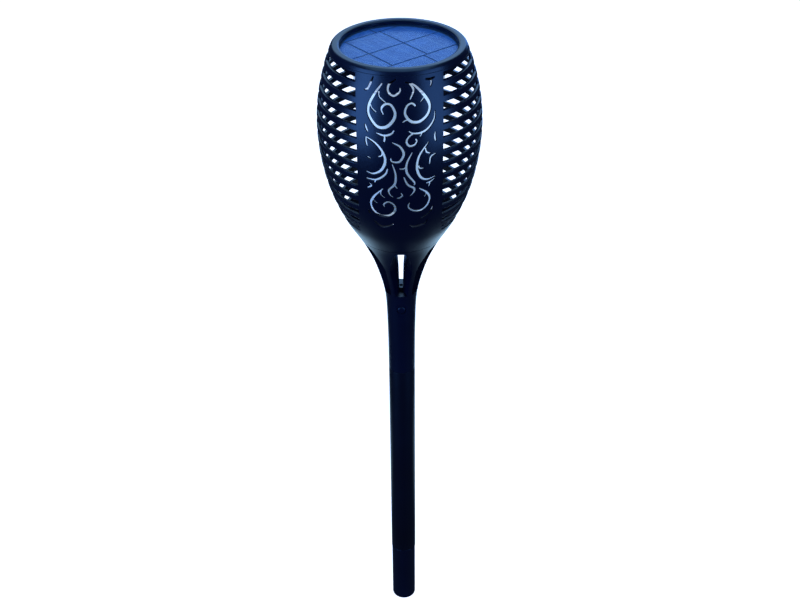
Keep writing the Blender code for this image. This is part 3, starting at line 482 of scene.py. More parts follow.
def rod(radius, start, end, segments=48):
    """A straight round bar between two points."""
    start, end = Vector(start), Vector(end)
    length = (end - start).length
    builder = turned([(0, 0), (radius, 0), (radius, length), (0, length)], segments)
    turn = (end - start).to_track_quat("Z", "Y").to_matrix().to_4x4()
    bmesh.ops.transform(builder, matrix=Matrix.Translation(start) @ turn, verts=builder.verts)
    return builder


def apply_boolean(target, builder, operation):
    """Cut or join one more body into a piece, and keep the result as its mesh."""
    tool = finish_mesh("tool", builder, target.data.materials[0])
    step = target.modifiers.new("step", "BOOLEAN")
    step.operation = operation
    step.object = tool
    depsgraph = bpy.context.evaluated_depsgraph_get()
    result = bpy.data.meshes.new_from_object(target.evaluated_get(depsgraph))
    target.modifiers.clear()
    target.data = result
    bpy.data.objects.remove(tool)
    result.shade_smooth()
    result.set_sharp_from_angle(angle=math.radians(32))
    return target


def place(piece, body, node):
    """Attach a fine piece to its body and let it stand for its CAD node."""
    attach(piece, body)
    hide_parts(node)
    return piece


# Basket


def smooth_route(points, spacing):
    """Points along a Catmull-Rom curve through the given ones, about this far apart."""
    route = [Vector(p) for p in points]
    padded = [2 * route[0] - route[1]] + route + [2 * route[-1] - route[-2]]
    dense = []
    for before, here, there, after in zip(padded, padded[1:], padded[2:], padded[3:]):
        steps = max(2, math.ceil((there - here).length / spacing))
        for i in range(steps):
            t = i / steps
            spot = 2 * here + (there - before) * t
            spot += (2 * before - 5 * here + 4 * there - after) * t * t
            spot += (3 * here - before - 3 * there + after) * t**3
            dense.append(spot / 2)
    dense.append(route[-1])
    return dense


def stroke(points, widest, start=0.5, end=0.5):
    """Outline of a curved cut in (x, depth), millimetres in, metres out.

    It swells from its start to its widest in the middle and thins again to its end. Its lower
    side is drawn down a little, as the draft of the mould does, so that it reads from above.
    """
    line = smooth_route([Vector((x, d)) * MM for x, d in points], CUT_STEP)
    lower, upper = [], []
    last = len(line) - 1
    for i, spot in enumerate(line):
        ahead = line[min(i + 1, last)] - line[max(i - 1, 0)]
        side = Vector((-ahead.y, ahead.x)).normalized()
        t = i / last
        tip = start + (end - start) * t
        half = MM * (tip + (widest - tip) * math.sin(math.pi * t) ** 0.8) / 2
        for edge, sign in ((lower, 1), (upper, -1)):
            drop = CUT_DRAFT if side.y * sign > 0 else 0.0
            edge.append(spot + side * sign * half + Vector((0, drop)))
    return lower + upper[::-1]


def panel_strokes():
    """Scrollwork of a panel: curls, thorns and small leaves, as (points, widths)."""
    curl_widths = (1.8, 0.4, 0.8)
    thorn_widths = (0.7, 1.15, 0.35)
    fine_widths = (1.1, 0.4, 0.4)
    return [
        # top middle, and the small marks in the upper corners
        ([(-2.0, 5.5), (-7.0, 9.0), (-7.5, 13.5), (-4.0, 16.0), (0.0, 13.5), (0.5, 11.0)],
         (1.3, 0.4, 0.7)),
        ([(-17.0, 4.7), (-21.0, 12.5), (-23.3, 13.6)], fine_widths),
        ([(17.0, 6.6), (20.5, 7.0), (23.3, 6.4)], fine_widths),
        ([(20.6, 7.0), (21.2, 9.3), (20.4, 11.8)], fine_widths),
        # upper left curl
        ([(-11.4, 8.4), (-16.0, 14.5), (-20.2, 22.0), (-21.0, 28.0), (-18.4, 33.3), (-14.5, 36.8),
          (-9.2, 36.4), (-4.5, 32.0), (-3.1, 27.0), (-5.7, 22.0), (-9.5, 21.5), (-12.3, 24.5),
          (-11.0, 28.3)], (1.9, 0.4, 0.7)),
        ([(-13.8, 13.6), (-13.4, 17.0), (-9.3, 20.5)], thorn_widths),
        ([(-19.6, 22.5), (-18.5, 24.8), (-15.6, 27.2)], thorn_widths),
        # upper right curl
        ([(3.7, 7.4), (9.6, 9.6), (16.0, 16.0), (20.0, 23.0), (18.8, 29.0), (14.0, 33.0), (9.0, 33.3),
          (5.5, 31.0), (3.5, 27.0), (5.0, 22.5), (8.2, 21.0), (10.8, 23.0)], curl_widths),
        ([(6.4, 31.6), (4.0, 31.9), (1.8, 33.2)], thorn_widths),
        ([(16.6, 15.6), (16.2, 17.8), (14.0, 20.6)], thorn_widths),
        ([(6.0, 7.6), (9.3, 12.5), (7.0, 18.5)], (1.15, 0.35, 0.6)),
        # right arc with its small curl
        ([(23.5, 27.0), (23.0, 33.0), (19.0, 38.5), (14.0, 41.0), (8.5, 40.8), (6.0, 39.2)],
         (1.3, 0.4, 0.35)),
        ([(8.9, 41.2), (6.2, 43.0), (4.4, 46.5), (6.3, 49.6), (9.8, 49.0), (11.4, 46.4), (10.4, 44.9)],
         (1.25, 0.75, 0.55)),
        ([(15.0, 40.0), (14.6, 42.0), (13.4, 43.6)], thorn_widths),
        # small leaf and tee on the left
        ([(-23.4, 35.6), (-22.6, 38.5), (-21.4, 41.0)], (1.3, 0.35, 0.45)),
        ([(-16.0, 41.0), (-10.6, 42.4), (-5.9, 41.0), (-3.9, 38.5)], (1.25, 0.35, 0.55)),
        ([(-10.6, 42.4), (-10.3, 44.5), (-10.9, 47.0)], (1.1, 0.95, 0.6)),
        # left bow
        ([(-23.0, 44.5), (-16.7, 48.2), (-12.0, 54.0), (-10.2, 61.0), (-13.0, 68.0), (-18.5, 71.5),
          (-23.3, 70.5)], (1.7, 0.55, 0.6)),
        ([(-23.0, 44.8), (-22.9, 48.0), (-22.2, 51.2)], (1.15, 0.7, 0.7)),
        ([(-12.2, 54.6), (-12.6, 57.0), (-14.9, 57.9)], thorn_widths),
        ([(-22.5, 59.0), (-21.3, 59.2), (-20.0, 60.0)], (0.7, 0.35, 0.35)),
        # middle hook
        ([(-5.3, 47.0), (0.0, 50.0), (2.5, 55.5), (-0.5, 61.0), (-5.5, 61.0), (-6.5, 58.5)],
         (1.55, 0.35, 0.7)),
        # right bow
        ([(19.5, 48.0), (15.4, 53.5), (12.5, 59.0), (11.5, 67.0), (14.0, 74.0), (18.5, 76.5),
          (24.3, 75.0)], (1.6, 0.4, 0.55)),
        ([(17.2, 52.0), (18.0, 55.2), (20.6, 56.6)], thorn_widths),
        ([(12.4, 64.6), (13.4, 66.8), (16.0, 67.2)], thorn_widths),
        ([(24.3, 57.3), (20.9, 59.5), (20.2, 64.8)], (1.15, 0.55, 0.6)),
        ([(24.0, 41.5), (23.6, 45.0), (24.3, 48.5)], (1.15, 0.4, 0.55)),
        # arcs and streams in the middle
        ([(-8.5, 66.5), (-10.6, 71.5), (-16.5, 76.0), (-23.5, 76.0)], (1.3, 0.35, 0.6)),
        ([(-17.0, 75.8), (-17.4, 77.4), (-17.8, 78.8)], (0.8, 1.0, 0.35)),
        ([(-21.8, 79.2), (-20.0, 81.6), (-23.0, 84.0)], (1.05, 0.4, 0.35)),
        ([(-5.5, 62.8), (-3.3, 70.5), (-3.8, 78.5), (-8.0, 84.0), (-7.2, 88.0), (-5.0, 90.0)],
         (1.45, 0.35, 0.35)),
        ([(-4.4, 78.6), (-3.2, 81.0), (-2.0, 82.4)], (0.8, 1.0, 0.35)),
        ([(0.3, 86.2), (1.3, 88.4), (-0.6, 90.4), (-2.6, 90.8)], (1.1, 0.4, 0.35)),
        ([(8.3, 54.4), (4.6, 62.3), (4.7, 70.0), (9.8, 78.0), (9.2, 80.0)], (1.45, 0.35, 0.75)),
        ([(-0.6, 66.6), (2.6, 66.4), (4.8, 63.8)], (0.9, 0.35, 0.7)),
        ([(2.3, 73.0), (5.2, 79.5), (9.3, 82.5), (9.4, 85.6), (6.6, 89.2)], (1.45, 0.4, 0.35)),
        # lower left curl
        ([(-12.0, 83.0), (-18.0, 90.0), (-20.8, 97.0), (-18.7, 104.0), (-13.5, 107.5), (-7.5, 106.5),
          (-4.0, 102.0), (-4.5, 97.0), (-8.5, 94.3), (-11.8, 96.8), (-11.2, 99.0)], (1.7, 0.4, 0.7)),
        ([(-13.6, 84.6), (-13.6, 88.2), (-10.8, 91.0)], thorn_widths),
        ([(-19.6, 92.6), (-18.4, 94.6), (-16.0, 96.8)], thorn_widths),
        # lower right curl
        ([(13.0, 83.0), (18.3, 87.5), (20.4, 93.0), (18.6, 99.0), (14.6, 102.6), (9.0, 102.5),
          (5.5, 99.0), (6.3, 95.0)], (1.55, 0.4, 0.6)),
        ([(17.8, 86.6), (17.9, 89.0), (16.4, 91.4)], thorn_widths),
        ([(17.8, 79.6), (21.0, 78.8), (23.7, 76.8)], (1.15, 0.4, 0.55)),
        ([(20.4, 79.0), (20.2, 81.0), (19.3, 82.8)], (1.05, 0.95, 0.4)),
        ([(23.0, 100.5), (20.5, 106.0), (14.0, 111.0)], (1.25, 0.45, 0.35)),
        # foot of the panel
        ([(-22.6, 104.0), (-21.2, 107.5)], (1.25, 0.35, 0.55)),
        ([(-19.6, 113.0), (-13.0, 118.6), (-5.0, 115.6)], (1.45, 0.4, 0.4)),
        ([(6.4, 116.6), (9.6, 118.4), (17.0, 116.6), (19.0, 113.0)], (1.45, 0.4, 0.4)),
    ]


def inside(outline, spot):
    """True if the point lies in the closed outline, also where that overlaps itself."""
    winding = 0
    x, y = spot
    for (x0, y0), (x1, y1) in zip(outline, outline[1:] + outline[:1]):
        if (y0 <= y) == (y1 <= y):
            continue
        side = (x1 - x0) * (y - y0) - (x - x0) * (y1 - y0)
        if y0 <= y and side > 0:
            winding += 1
        elif y1 <= y and side < 0:
            winding -= 1
    return winding != 0


def slot_rows():
    """Depths of the side's rows, each with True where the row is open."""
    start, foot = height(BASKET_HIGH), height(BASKET_LOW)
    spans = [(start, FIRST_SLOT_DEPTH, False)]
    for number in range(SLOT_COUNT):
        top = FIRST_SLOT_DEPTH + number * SLOT_PITCH
        bottom = top + SLOT_HEIGHT
        after = top + SLOT_PITCH if number < SLOT_COUNT - 1 else foot
        spans += [(top, bottom, True), (bottom, after, False)]
    depths, is_open = [start], []
    step_height = 0.4 * MM
    for top, bottom, opened in spans:
        if opened:
            inner = [top + step_height, (top + bottom) / 2, bottom - step_height, bottom]
        else:
            count = max(2, round((bottom - top) / (1.6 * MM)))
            inner = [top + (bottom - top) * (k + 1) / count for k in range(count)]
        depths += inner
        is_open += [opened] * len(inner)
    return depths, is_open


def panel_sheet(depths):
    """Triangles of the pierced panel in (x, depth)."""
    half = PANEL_HALF_WIDTH
    columns = round(2 * half / PANEL_GRID)
    steps = [half * (2 * i / columns - 1) for i in range(columns + 1)]
    outline = [(x, depths[0]) for x in steps]
    outline += [(half, d) for d in depths[1:-1]]
    outline += [(x, depths[-1]) for x in reversed(steps)]
    outline += [(-half, d) for d in reversed(depths[1:-1])]
    cuts = [[tuple(p) for p in stroke(points, *widths)] for points, widths in panel_strokes()]
    points = [Vector(p) for p in outline]
    edges = [(i, (i + 1) % len(points)) for i in range(len(points))]
    for cut in cuts:
        first, span = len(points), len(cut)
        points += [Vector(p) for p in cut]
        edges += [(first + i, first + (i + 1) % span) for i in range(span)]
    taken = np.array([tuple(p) for p in points])
    rows = round((depths[-1] - depths[0]) / (PANEL_GRID * 0.87))
    for row in range(1, rows):
        depth = depths[0] + (depths[-1] - depths[0]) * row / rows
        for column in range(columns):
            x = steps[column] + (0.75 if row % 2 else 0.25) * (steps[1] - steps[0])
            if np.min(np.hypot(taken[:, 0] - x, taken[:, 1] - depth)) > 0.45 * PANEL_GRID:
                points.append(Vector((x, depth)))
    scaled = [p / MM for p in points]
    done = delaunay_2d_cdt(scaled, edges, [], 0, 1e-4)
    flat = [p * MM for p in done[0]]
    boxes = []
    for cut in cuts:
        xs, ys = [p[0] for p in cut], [p[1] for p in cut]
        boxes.append((min(xs), max(xs), min(ys), max(ys)))
    kept = []
    for face in done[2]:
        centre = (flat[face[0]] + flat[face[1]] + flat[face[2]]) / 3
        x, y = centre
        opened = any(
            low_x < x < high_x and low_y < y < high_y and inside(cut, centre)
            for cut, (low_x, high_x, low_y, high_y) in zip(cuts, boxes)
        )
        if not opened:
            kept.append(tuple(face))
    return flat, kept


def blend_step(low, high, value):
    t = min(max((value - low) / (high - low), 0.0), 1.0)
    return t * t * (3 - 2 * t)


def basket_surface():
    """Outer surface of half a basket: points, their wall thickness and edge rounding, and faces."""
    depths, is_open = slot_rows()
    points, walls, rounds, faces = [], [], [], []
    known = {}

    def add(across, back, depth, wall, edge, recess=0.0):
        key = (round(across * 1e6), round(back * 1e6), round(depth * 1e6))
        if key not in known:
            known[key] = len(points)
            inward = Vector((-across, -back, 0)).normalized() * recess
            points.append(Vector((across, back, height(depth))) + inward)
            walls.append(wall - recess)
            rounds.append(edge)
        return known[key]

    for side in (-1, 1):
        rows = []
        for row, depth in enumerate(depths):
            radius = head_radius(depth)
            start = math.asin(PANEL_HALF_WIDTH / radius)
            rib = math.acos(SIDE_RIB_HALF_WIDTH / radius)
            seam = math.acos(SEAM_HALF_GAP / radius)
            angles = [start + (rib - start) * i / SLOT_COLUMNS for i in range(SLOT_COLUMNS + 1)]
            angles += [(rib + seam) / 2, seam]
            between_slots = row in (0, len(depths) - 1) or not (is_open[row - 1] and is_open[row])
            ring = []
            for i, angle in enumerate(angles):
                recess = SIDE_RIB_RECESS if i >= SLOT_COLUMNS and not between_slots else 0.0
                across = side * radius * math.sin(angle) if i else side * PANEL_HALF_WIDTH
                back = -math.sqrt(radius**2 - across**2)
                edge = SLAT_EDGE_ROUND if row else TOP_EDGE_ROUND
                ring.append(add(across, back, depth, BASKET_WALL, edge, recess))
            rows.append(ring)
        for opened, upper, lower in zip(is_open, rows, rows[1:]):
            for i in range(len(upper) - 1):
                if opened and i < SLOT_COLUMNS:
                    continue
                face = (upper[i], lower[i], lower[i + 1], upper[i + 1])
                faces.append(face if side > 0 else face[::-1])

    flat, triangles = panel_sheet(depths)
    index = []
    for across, depth in flat:
        if abs(abs(across) - PANEL_HALF_WIDTH) < 1e-6:
            across = math.copysign(PANEL_HALF_WIDTH, across)
        back = -math.sqrt(head_radius(depth) ** 2 - across**2)
        thick = blend_step(26 * MM, 28.5 * MM, abs(across))
        wall = PANEL_WALL + (BASKET_WALL - PANEL_WALL) * thick
        index.append(add(across, back, depth, wall, CUT_EDGE_ROUND))
    for a, b, c in triangles:
        turn = (flat[b] - flat[a]).cross(flat[c] - flat[a])
        face = (index[a], index[b], index[c])
        if len(set(face)) == 3:
            faces.append(face if turn < 0 else face[::-1])
    return points, walls, rounds, faces


def basket_mesh(surface):
    """Closed half shell: outer and inner skins, and rounded edges round every opening."""
    points, walls, rounds, faces = basket_surface()
    around = [Vector((p.x, p.y, 0)).normalized() for p in points]
    normals = [head_normal(p.x, p.y, height(p.z)) for p in points]
    sides = {}
    for face in faces:
        for a, b in zip(face, face[1:] + face[:1]):
            sides[(a, b)] = sides.get((a, b), 0) + 1
    border = [(a, b) for a, b in sides if (b, a) not in sides]
    pull = {}
    for a, b in border:
        into = normals[a].cross(points[b] - points[a]).normalized()
        for end in (a, b):
            pull.setdefault(end, []).append(into)
    moved = {}
    for end, directions in pull.items():
        mean = sum(directions, Vector()).normalized()
        stretch = min(1 / max(mean.dot(directions[0]), 0.4), 1.6)
        moved[end] = mean * stretch

    builder = bmesh.new()
    kind = builder.faces.layers.int.new("kind")

    def ring_point(i, shift, depth):
        return points[i] + moved[i] * shift - around[i] * depth

    outer, inner, rings = [], [], {}
    back_edge = 0.12 * MM
    for i, spot in enumerate(points):
        if i in moved:
            edge = rounds[i]
            half_turn = 1 - math.sqrt(0.5)
            profile = [
                (edge, 0.0),
                (half_turn * edge, half_turn * edge),
                (0.0, edge),
                (0.0, walls[i] - back_edge),
                (back_edge, walls[i]),
            ]
            rings[i] = [builder.verts.new(ring_point(i, *step)) for step in profile]
            outer.append(rings[i][0])
            inner.append(rings[i][-1])
        else:
            outer.append(builder.verts.new(spot))
            inner.append(builder.verts.new(spot - around[i] * walls[i]))
    normal_of = {}
    for i in range(len(points)):
        normal_of[outer[i]] = normals[i]
        normal_of[inner[i]] = -normals[i]
    for face in faces:
        skin = builder.faces.new([outer[i] for i in face])
        skin[kind] = 1
        lining = builder.faces.new([inner[i] for i in reversed(face)])
        lining[kind] = 1
    for a, b in border:
        for first, second in zip(range(4), range(1, 5)):
            builder.faces.new((rings[b][first], rings[a][first], rings[a][second], rings[b][second]))
    bmesh.ops.recalc_face_normals(builder, faces=builder.faces)
    builder.verts.index_update()
    wanted = {v.index: n for v, n in normal_of.items()}
    smooth = [f[kind] == 1 for f in builder.faces]
    mesh = bpy.data.meshes.new("basket_half")
    builder.to_mesh(mesh)
    builder.free()
    mesh.shade_smooth()
    mesh.set_sharp_from_angle(angle=math.radians(32))
    loops = [Vector()] * len(mesh.loops)
    for polygon, keep in zip(mesh.polygons, smooth):
        if keep:
            for loop in polygon.loop_indices:
                loops[loop] = wanted[mesh.loops[loop].vertex_index]
    mesh.normals_split_custom_set(loops)
    mesh.materials.append(surface)
    return mesh


def baskets(surfaces):
    mesh = basket_mesh(surfaces["black"])
    for name, node, turn in (("front_basket", "basket_front_half", 0.0),
                             ("rear_basket", "basket_rear_half", math.pi)):
        half = bpy.data.objects.new(name, mesh)
        half.rotation_euler = (0, 0, turn)
        bpy.context.scene.collection.objects.link(half)
        place(half, "pole_and_basket", node)


# Neck, pole and stake


def window_cutter():
    """The space between two fins, whose head narrows like an arch."""
    near = WINDOW_NEAR_RADIUS
    half_turn = math.pi / WINDOW_COUNT
    slope = math.tan(half_turn)
    offset = FIN_THICKNESS / 2 / math.cos(half_turn)
    near_half = near * slope - offset
    full = (WINDOW_HALF_WIDTH + offset) / slope
    section = [
        (-near_half, near),
        (near_half, near),
        (WINDOW_HALF_WIDTH, full),
        (WINDOW_HALF_WIDTH, WINDOW_REACH),
        (-WINDOW_HALF_WIDTH, WINDOW_REACH),
        (-WINDOW_HALF_WIDTH, full),
    ]
    narrowing = [
        (WINDOW_HEAD_DEPTH, 0.38),
        (156.0 * MM, 0.64),
        (163.0 * MM, 0.84),
        (173.0 * MM, 1.0),
        (WINDOW_SILL_DEPTH, 1.0),
    ]
    level_count = 18
    builder = bmesh.new()
    rings = []
    for k in range(level_count + 1):
        share = (k / level_count) ** 1.6
        depth = WINDOW_HEAD_DEPTH + (WINDOW_SILL_DEPTH - WINDOW_HEAD_DEPTH) * share
        scale = min(smooth_value(narrowing, depth), 1.0)
        rings.append([builder.verts.new((x * scale, -y, height(depth))) for x, y in section])
    for lower, upper in zip(rings, rings[1:]):
        for i in range(len(section)):
            j = (i + 1) % len(section)
            builder.faces.new((lower[i], lower[j], upper[j], upper[i]))
    builder.faces.new(rings[0])
    builder.faces.new(rings[-1])
    return builder


def joined(builders):
    """One bmesh that holds several."""
    whole = bmesh.new()
    for part in builders:
        bmesh.ops.recalc_face_normals(part, faces=part.faces)
        mesh = bpy.data.meshes.new("part")
        part.to_mesh(mesh)
        part.free()
        whole.from_mesh(mesh)
        bpy.data.meshes.remove(mesh)
    return whole


def neck(surfaces):
    top, end = height(NECK_HIGH), height(NECK_LOW)
    step = 1.6 * MM
    count = round((240 * MM - top) / step)
    outside = [top + (240 * MM - top) * k / count for k in range(count + 1)]
    outside += [254 * MM, 268 * MM, end - 0.1 * MM]
    outline = [(head_radius(d), height(d)) for d in outside]
    outline.append((head_radius(end) - 0.1 * MM, height(end)))
    outline += [
        (SOCKET_RADIUS, height(end)),
        (SOCKET_RADIUS, height(SHELF_DEPTH)),
        (DRAIN_RADIUS, height(SHELF_DEPTH)),
        (DRAIN_RADIUS, height(SHELF_DOME_DEPTH)),
        (SHELF_DOME_RADIUS, height(SHELF_DOME_DEPTH)),
        (WINDOW_NEAR_RADIUS - 0.2 * MM, height(WINDOW_SILL_DEPTH + 0.6 * MM)),
        (WINDOW_NEAR_RADIUS + 0.2 * MM, height(WINDOW_SILL_DEPTH + 0.6 * MM)),
    ]
    inside_curve = [
        (top, head_radius(top) - BASKET_WALL),
        (156.0 * MM, head_radius(156 * MM) - 3.0 * MM),
        (163.0 * MM, 15.0 * MM),
        (177.0 * MM, 8.2 * MM),
        (WINDOW_SILL_DEPTH - 1 * MM, WINDOW_NEAR_RADIUS + 0.25 * MM),
    ]
    inner_count = 16
    for k in range(inner_count + 1):
        depth = inside_curve[-1][0] + (top - inside_curve[-1][0]) * k / inner_count
        outline.append((smooth_value(inside_curve, depth), height(depth)))
    piece = finish_mesh("neck_moulding", turned(outline), surfaces["black"])
    cutters = []
    for number in range(WINDOW_COUNT):
        cutter = window_cutter()
        turn = Matrix.Rotation(2 * math.pi * number / WINDOW_COUNT, 4, "Z")
        bmesh.ops.transform(cutter, matrix=turn, verts=cutter.verts)
        cutters.append(cutter)
    apply_boolean(piece, joined(cutters), "DIFFERENCE")
    z = height(LOCK_DEPTH)
    face = -head_radius(LOCK_DEPTH)
    dish = rod(LOCK_DISH_RADIUS, (0, face - 3 * MM, z), (0, face + LOCK_DISH_DEPTH, z))
    apply_boolean(piece, dish, "DIFFERENCE")
    hole = rod(LOCK_HOLE_RADIUS, (0, face - 3 * MM, z), (0, 0, z))
    apply_boolean(piece, hole, "DIFFERENCE")
    place(piece, "pole_and_basket", "neck")


def pole(surfaces):
    """Steel tube whose narrowed upper end stands in the neck's socket."""
    inner, small_inner = POLE_RADIUS - POLE_WALL, SWAGE_RADIUS - POLE_WALL
    shoulder = NECK_LOW - 0.3 * MM
    outline = rounded([
        (POLE_RADIUS, POLE_LOW, 0.2 * MM),
        (POLE_RADIUS, shoulder, 0.1 * MM),
        (SWAGE_RADIUS, shoulder, 0.3 * MM),
        (SWAGE_RADIUS, POLE_HIGH, 0.1 * MM),
        (small_inner, POLE_HIGH, 0.1 * MM),
        (small_inner, shoulder - 1.2 * MM, 0),
        (inner, shoulder - 2.4 * MM, 0),
        (inner, POLE_LOW, 0.2 * MM),
    ])
    piece = finish_mesh("steel_pole", turned(outline, 96), surfaces["tube"])
    z = height(LOCK_DEPTH)
    apply_boolean(piece, rod(LOCK_HOLE_RADIUS, (0, -12 * MM, z), (0, 0, z)), "DIFFERENCE")
    place(piece, "pole_and_basket", "pole_tube")


def stake(surfaces):
    """Round shank below and a cross blade above, which points up inside the pole."""
    outline = rounded([
        (0, 0, 0),
        (SHANK_RADIUS, 0, 1.0 * MM),
        (SHANK_RADIUS, COLLAR_LOW, 0.2 * MM),
        (POLE_RADIUS, COLLAR_LOW, 0.25 * MM),
        (POLE_RADIUS, COLLAR_HIGH, 0.2 * MM),
        (PLUG_RADIUS, COLLAR_HIGH, 0.1 * MM),
        (PLUG_RADIUS, PLUG_TOP, 0.5 * MM),
        (0, PLUG_TOP, 0),
    ])
    piece = finish_mesh("stake_moulding", turned(outline, 96), surfaces["black"])
    blade = bmesh.new()
    rings = []
    edge = 0.4 * MM
    levels = [(PLUG_TOP - 2 * MM, BLADE_HALF_WIDTH), (PLUG_TOP + 60 * MM, BLADE_HALF_WIDTH)]
    levels += [(STAKE_TOP - 4 * MM, 1.9 * MM), (STAKE_TOP, 1.75 * MM)]
    for z, reach in levels:
        thick = min(BLADE_HALF_THICKNESS, reach * 0.6)
        corners = [(reach, -thick + edge), (reach, thick - edge), (reach - edge, thick), (thick, thick)]
        ring = []
        for quarter in range(4):
            turn = Matrix.Rotation(quarter * math.pi / 2, 2)
            ring += [blade.verts.new((*(turn @ Vector(c)), z)) for c in corners]
            last = turn @ Vector((thick, reach - edge))
            ring.append(blade.verts.new((*last, z)))
        rings.append(ring)
    for lower, upper in zip(rings, rings[1:]):
        for i in range(len(lower)):
            j = (i + 1) % len(lower)
            blade.faces.new((lower[i], lower[j], upper[j], upper[i]))
    blade.faces.new(rings[0])
    blade.faces.new(rings[-1])
    apply_boolean(piece, blade, "UNION")
    place(piece, "ground_stake", "ground_stake")


def snap_button(surfaces):
    radius = 3.1 * MM
    front, back = SNAP_LOW.y, SNAP_HIGH.y
    flange = back - 0.8 * MM
    outline = rounded([
        (0, front, 0),
        (radius, front, 0.8 * MM),
        (radius, flange, 0.1 * MM),
        (radius + 0.9 * MM, flange, 0.15 * MM),
        (radius + 0.9 * MM, back, 0.15 * MM),
        (0, back, 0),
    ])
    builder = turned(outline, 48)
    turn = Matrix.Translation((0, 0, height(LOCK_DEPTH))) @ Matrix.Rotation(-math.pi / 2, 4, "X")
    bmesh.ops.transform(builder, matrix=turn, verts=builder.verts)
    piece = finish_mesh("snap_button", builder, surfaces["black"])
    place(piece, "lock_button", "lock_button")


# Light unit


def bezel(surfaces):
    """Rounded ring over the solar panel."""
    top = RIM_HEIGHT
    ledge = top - 3.2 * MM
    lip = top - RING_LIP_DEPTH
    outline = rounded([
        (RIM_INNER_RADIUS, ledge, 0.15 * MM),
        (RIM_INNER_RADIUS, top - 0.5 * MM, 0.6 * MM),
        (42.6 * MM, top, 1.6 * MM),
        (45.9 * MM, top, 1.6 * MM),
        (47.25 * MM, top - 1.5 * MM, 1.4 * MM),
        (head_radius(RING_LIP_DEPTH), lip, 0.08 * MM),
        (RING_SKIRT_RADIUS, lip, 0.1 * MM),
        (RING_SKIRT_RADIUS, RING_LOW, 0.3 * MM),
        (RING_BORE, RING_LOW, 0.3 * MM),
        (RING_BORE, ledge, 0.1 * MM),
    ], steps=6)
    piece = finish_mesh("bezel_ring", turned(outline), surfaces["black"])
    place(piece, "light_unit", "cap_ring")


def panel_window(surfaces):
    outline = rounded([
        (0, COVER_LOW, 0),
        (COVER_RADIUS, COVER_LOW, 0.1 * MM),
        (COVER_RADIUS, COVER_HIGH, 0.2 * MM),
        (0, COVER_HIGH, 0),
    ])
    piece = finish_mesh("clear_window", turned(outline), surfaces["clear"])
    place(piece, "light_unit", "panel_cover")


def tray(surfaces):
    """Black tray that closes the light unit under the panel."""
    inner = TRAY_RADIUS - TRAY_WALL
    floor_high = TRAY_LOW + TRAY_WALL
    outline = rounded([
        (TRAY_RADIUS, TRAY_HIGH, 0.2 * MM),
        (TRAY_RADIUS, TRAY_LOW, 0.6 * MM),
        (TRAY_OPENING_RADIUS, TRAY_LOW, 0.2 * MM),
        (TRAY_OPENING_RADIUS, floor_high, 0.2 * MM),
        (inner, floor_high, 0.3 * MM),
        (inner, TRAY_HIGH, 0.2 * MM),
    ])
    piece = finish_mesh("panel_tray", turned(outline), surfaces["black"])
    centre = (BUTTON_LOW + BUTTON_HIGH) / 2
    below, above = TRAY_LOW - 2 * MM, floor_high + 2 * MM
    hole = rod(BUTTON_HOLE_RADIUS, (0, centre.y, below), (0, centre.y, above))
    apply_boolean(piece, hole, "DIFFERENCE")
    place(piece, "light_unit", "cap_tray")


def rib_block(start, end, low, high):
    """A straight rib 2 mm thick between two places in plan."""
    side = Vector((start.y - end.y, end.x - start.x, 0)).normalized() * RIB_HALF_THICKNESS
    builder = bmesh.new()
    corners = [start + side, start - side, end - side, end + side]
    bottom = [builder.verts.new((c.x, c.y, low)) for c in corners]
    top = [builder.verts.new((c.x, c.y, high)) for c in corners]
    for i in range(4):
        j = (i + 1) % 4
        builder.faces.new((bottom[i], bottom[j], top[j], top[i]))
    builder.faces.new(bottom)
    builder.faces.new(top)
    return builder


def housing(surfaces):
    """Pale wall round the battery, with the screw bosses inside."""
    inner = HOUSING_RADIUS - HOUSING_WALL
    outline = rounded([
        (HOUSING_RADIUS, HOUSING_HIGH, 0.2 * MM),
        (HOUSING_RADIUS, HOUSING_LOW, 0.3 * MM),
        (inner, HOUSING_LOW, 0.2 * MM),
        (inner, HOUSING_HIGH, 0.2 * MM),
    ])
    piece = finish_mesh("housing_wall", turned(outline), surfaces["white"])
    boss_top = HOUSING_LOW + BOSS_HEIGHT
    beyond = Vector((0, 0, MM))
    for number in range(BOSS_COUNT):
        angle = math.radians(90 + 120 * number)
        outward = Vector((math.cos(angle), math.sin(angle), 0))
        centre = outward * BOSS_REACH
        at_wall = outward * (HOUSING_RADIUS - 0.8 * MM)
        rib = rib_block(centre, at_wall, HOUSING_LOW + 0.05 * MM, boss_top - 0.5 * MM)
        apply_boolean(piece, rib, "UNION")
        foot = centre + Vector((0, 0, HOUSING_LOW))
        head = centre + Vector((0, 0, boss_top))
        apply_boolean(piece, rod(BOSS_RADIUS, foot, head, 32), "UNION")
        bore = rod(BOSS_BORE_RADIUS, foot - beyond, head + beyond, 24)
        apply_boolean(piece, bore, "DIFFERENCE")
    place(piece, "light_unit", "battery_housing")


def switch_cap(surfaces):
    centre = (BUTTON_LOW + BUTTON_HIGH) / 2
    radius = BUTTON_HIGH.x
    outline = rounded([
        (0, BUTTON_LOW.z, 0),
        (radius, BUTTON_LOW.z, 0.6 * MM),
        (radius, BUTTON_HIGH.z, 0.1 * MM),
        (0, BUTTON_HIGH.z, 0),
    ])
    builder = turned(outline, 48)
    bmesh.ops.translate(builder, vec=(0, centre.y, 0), verts=builder.verts)
    piece = finish_mesh("switch_cap", builder, surfaces["rubber"])
    place(piece, "power_button", "power_button")


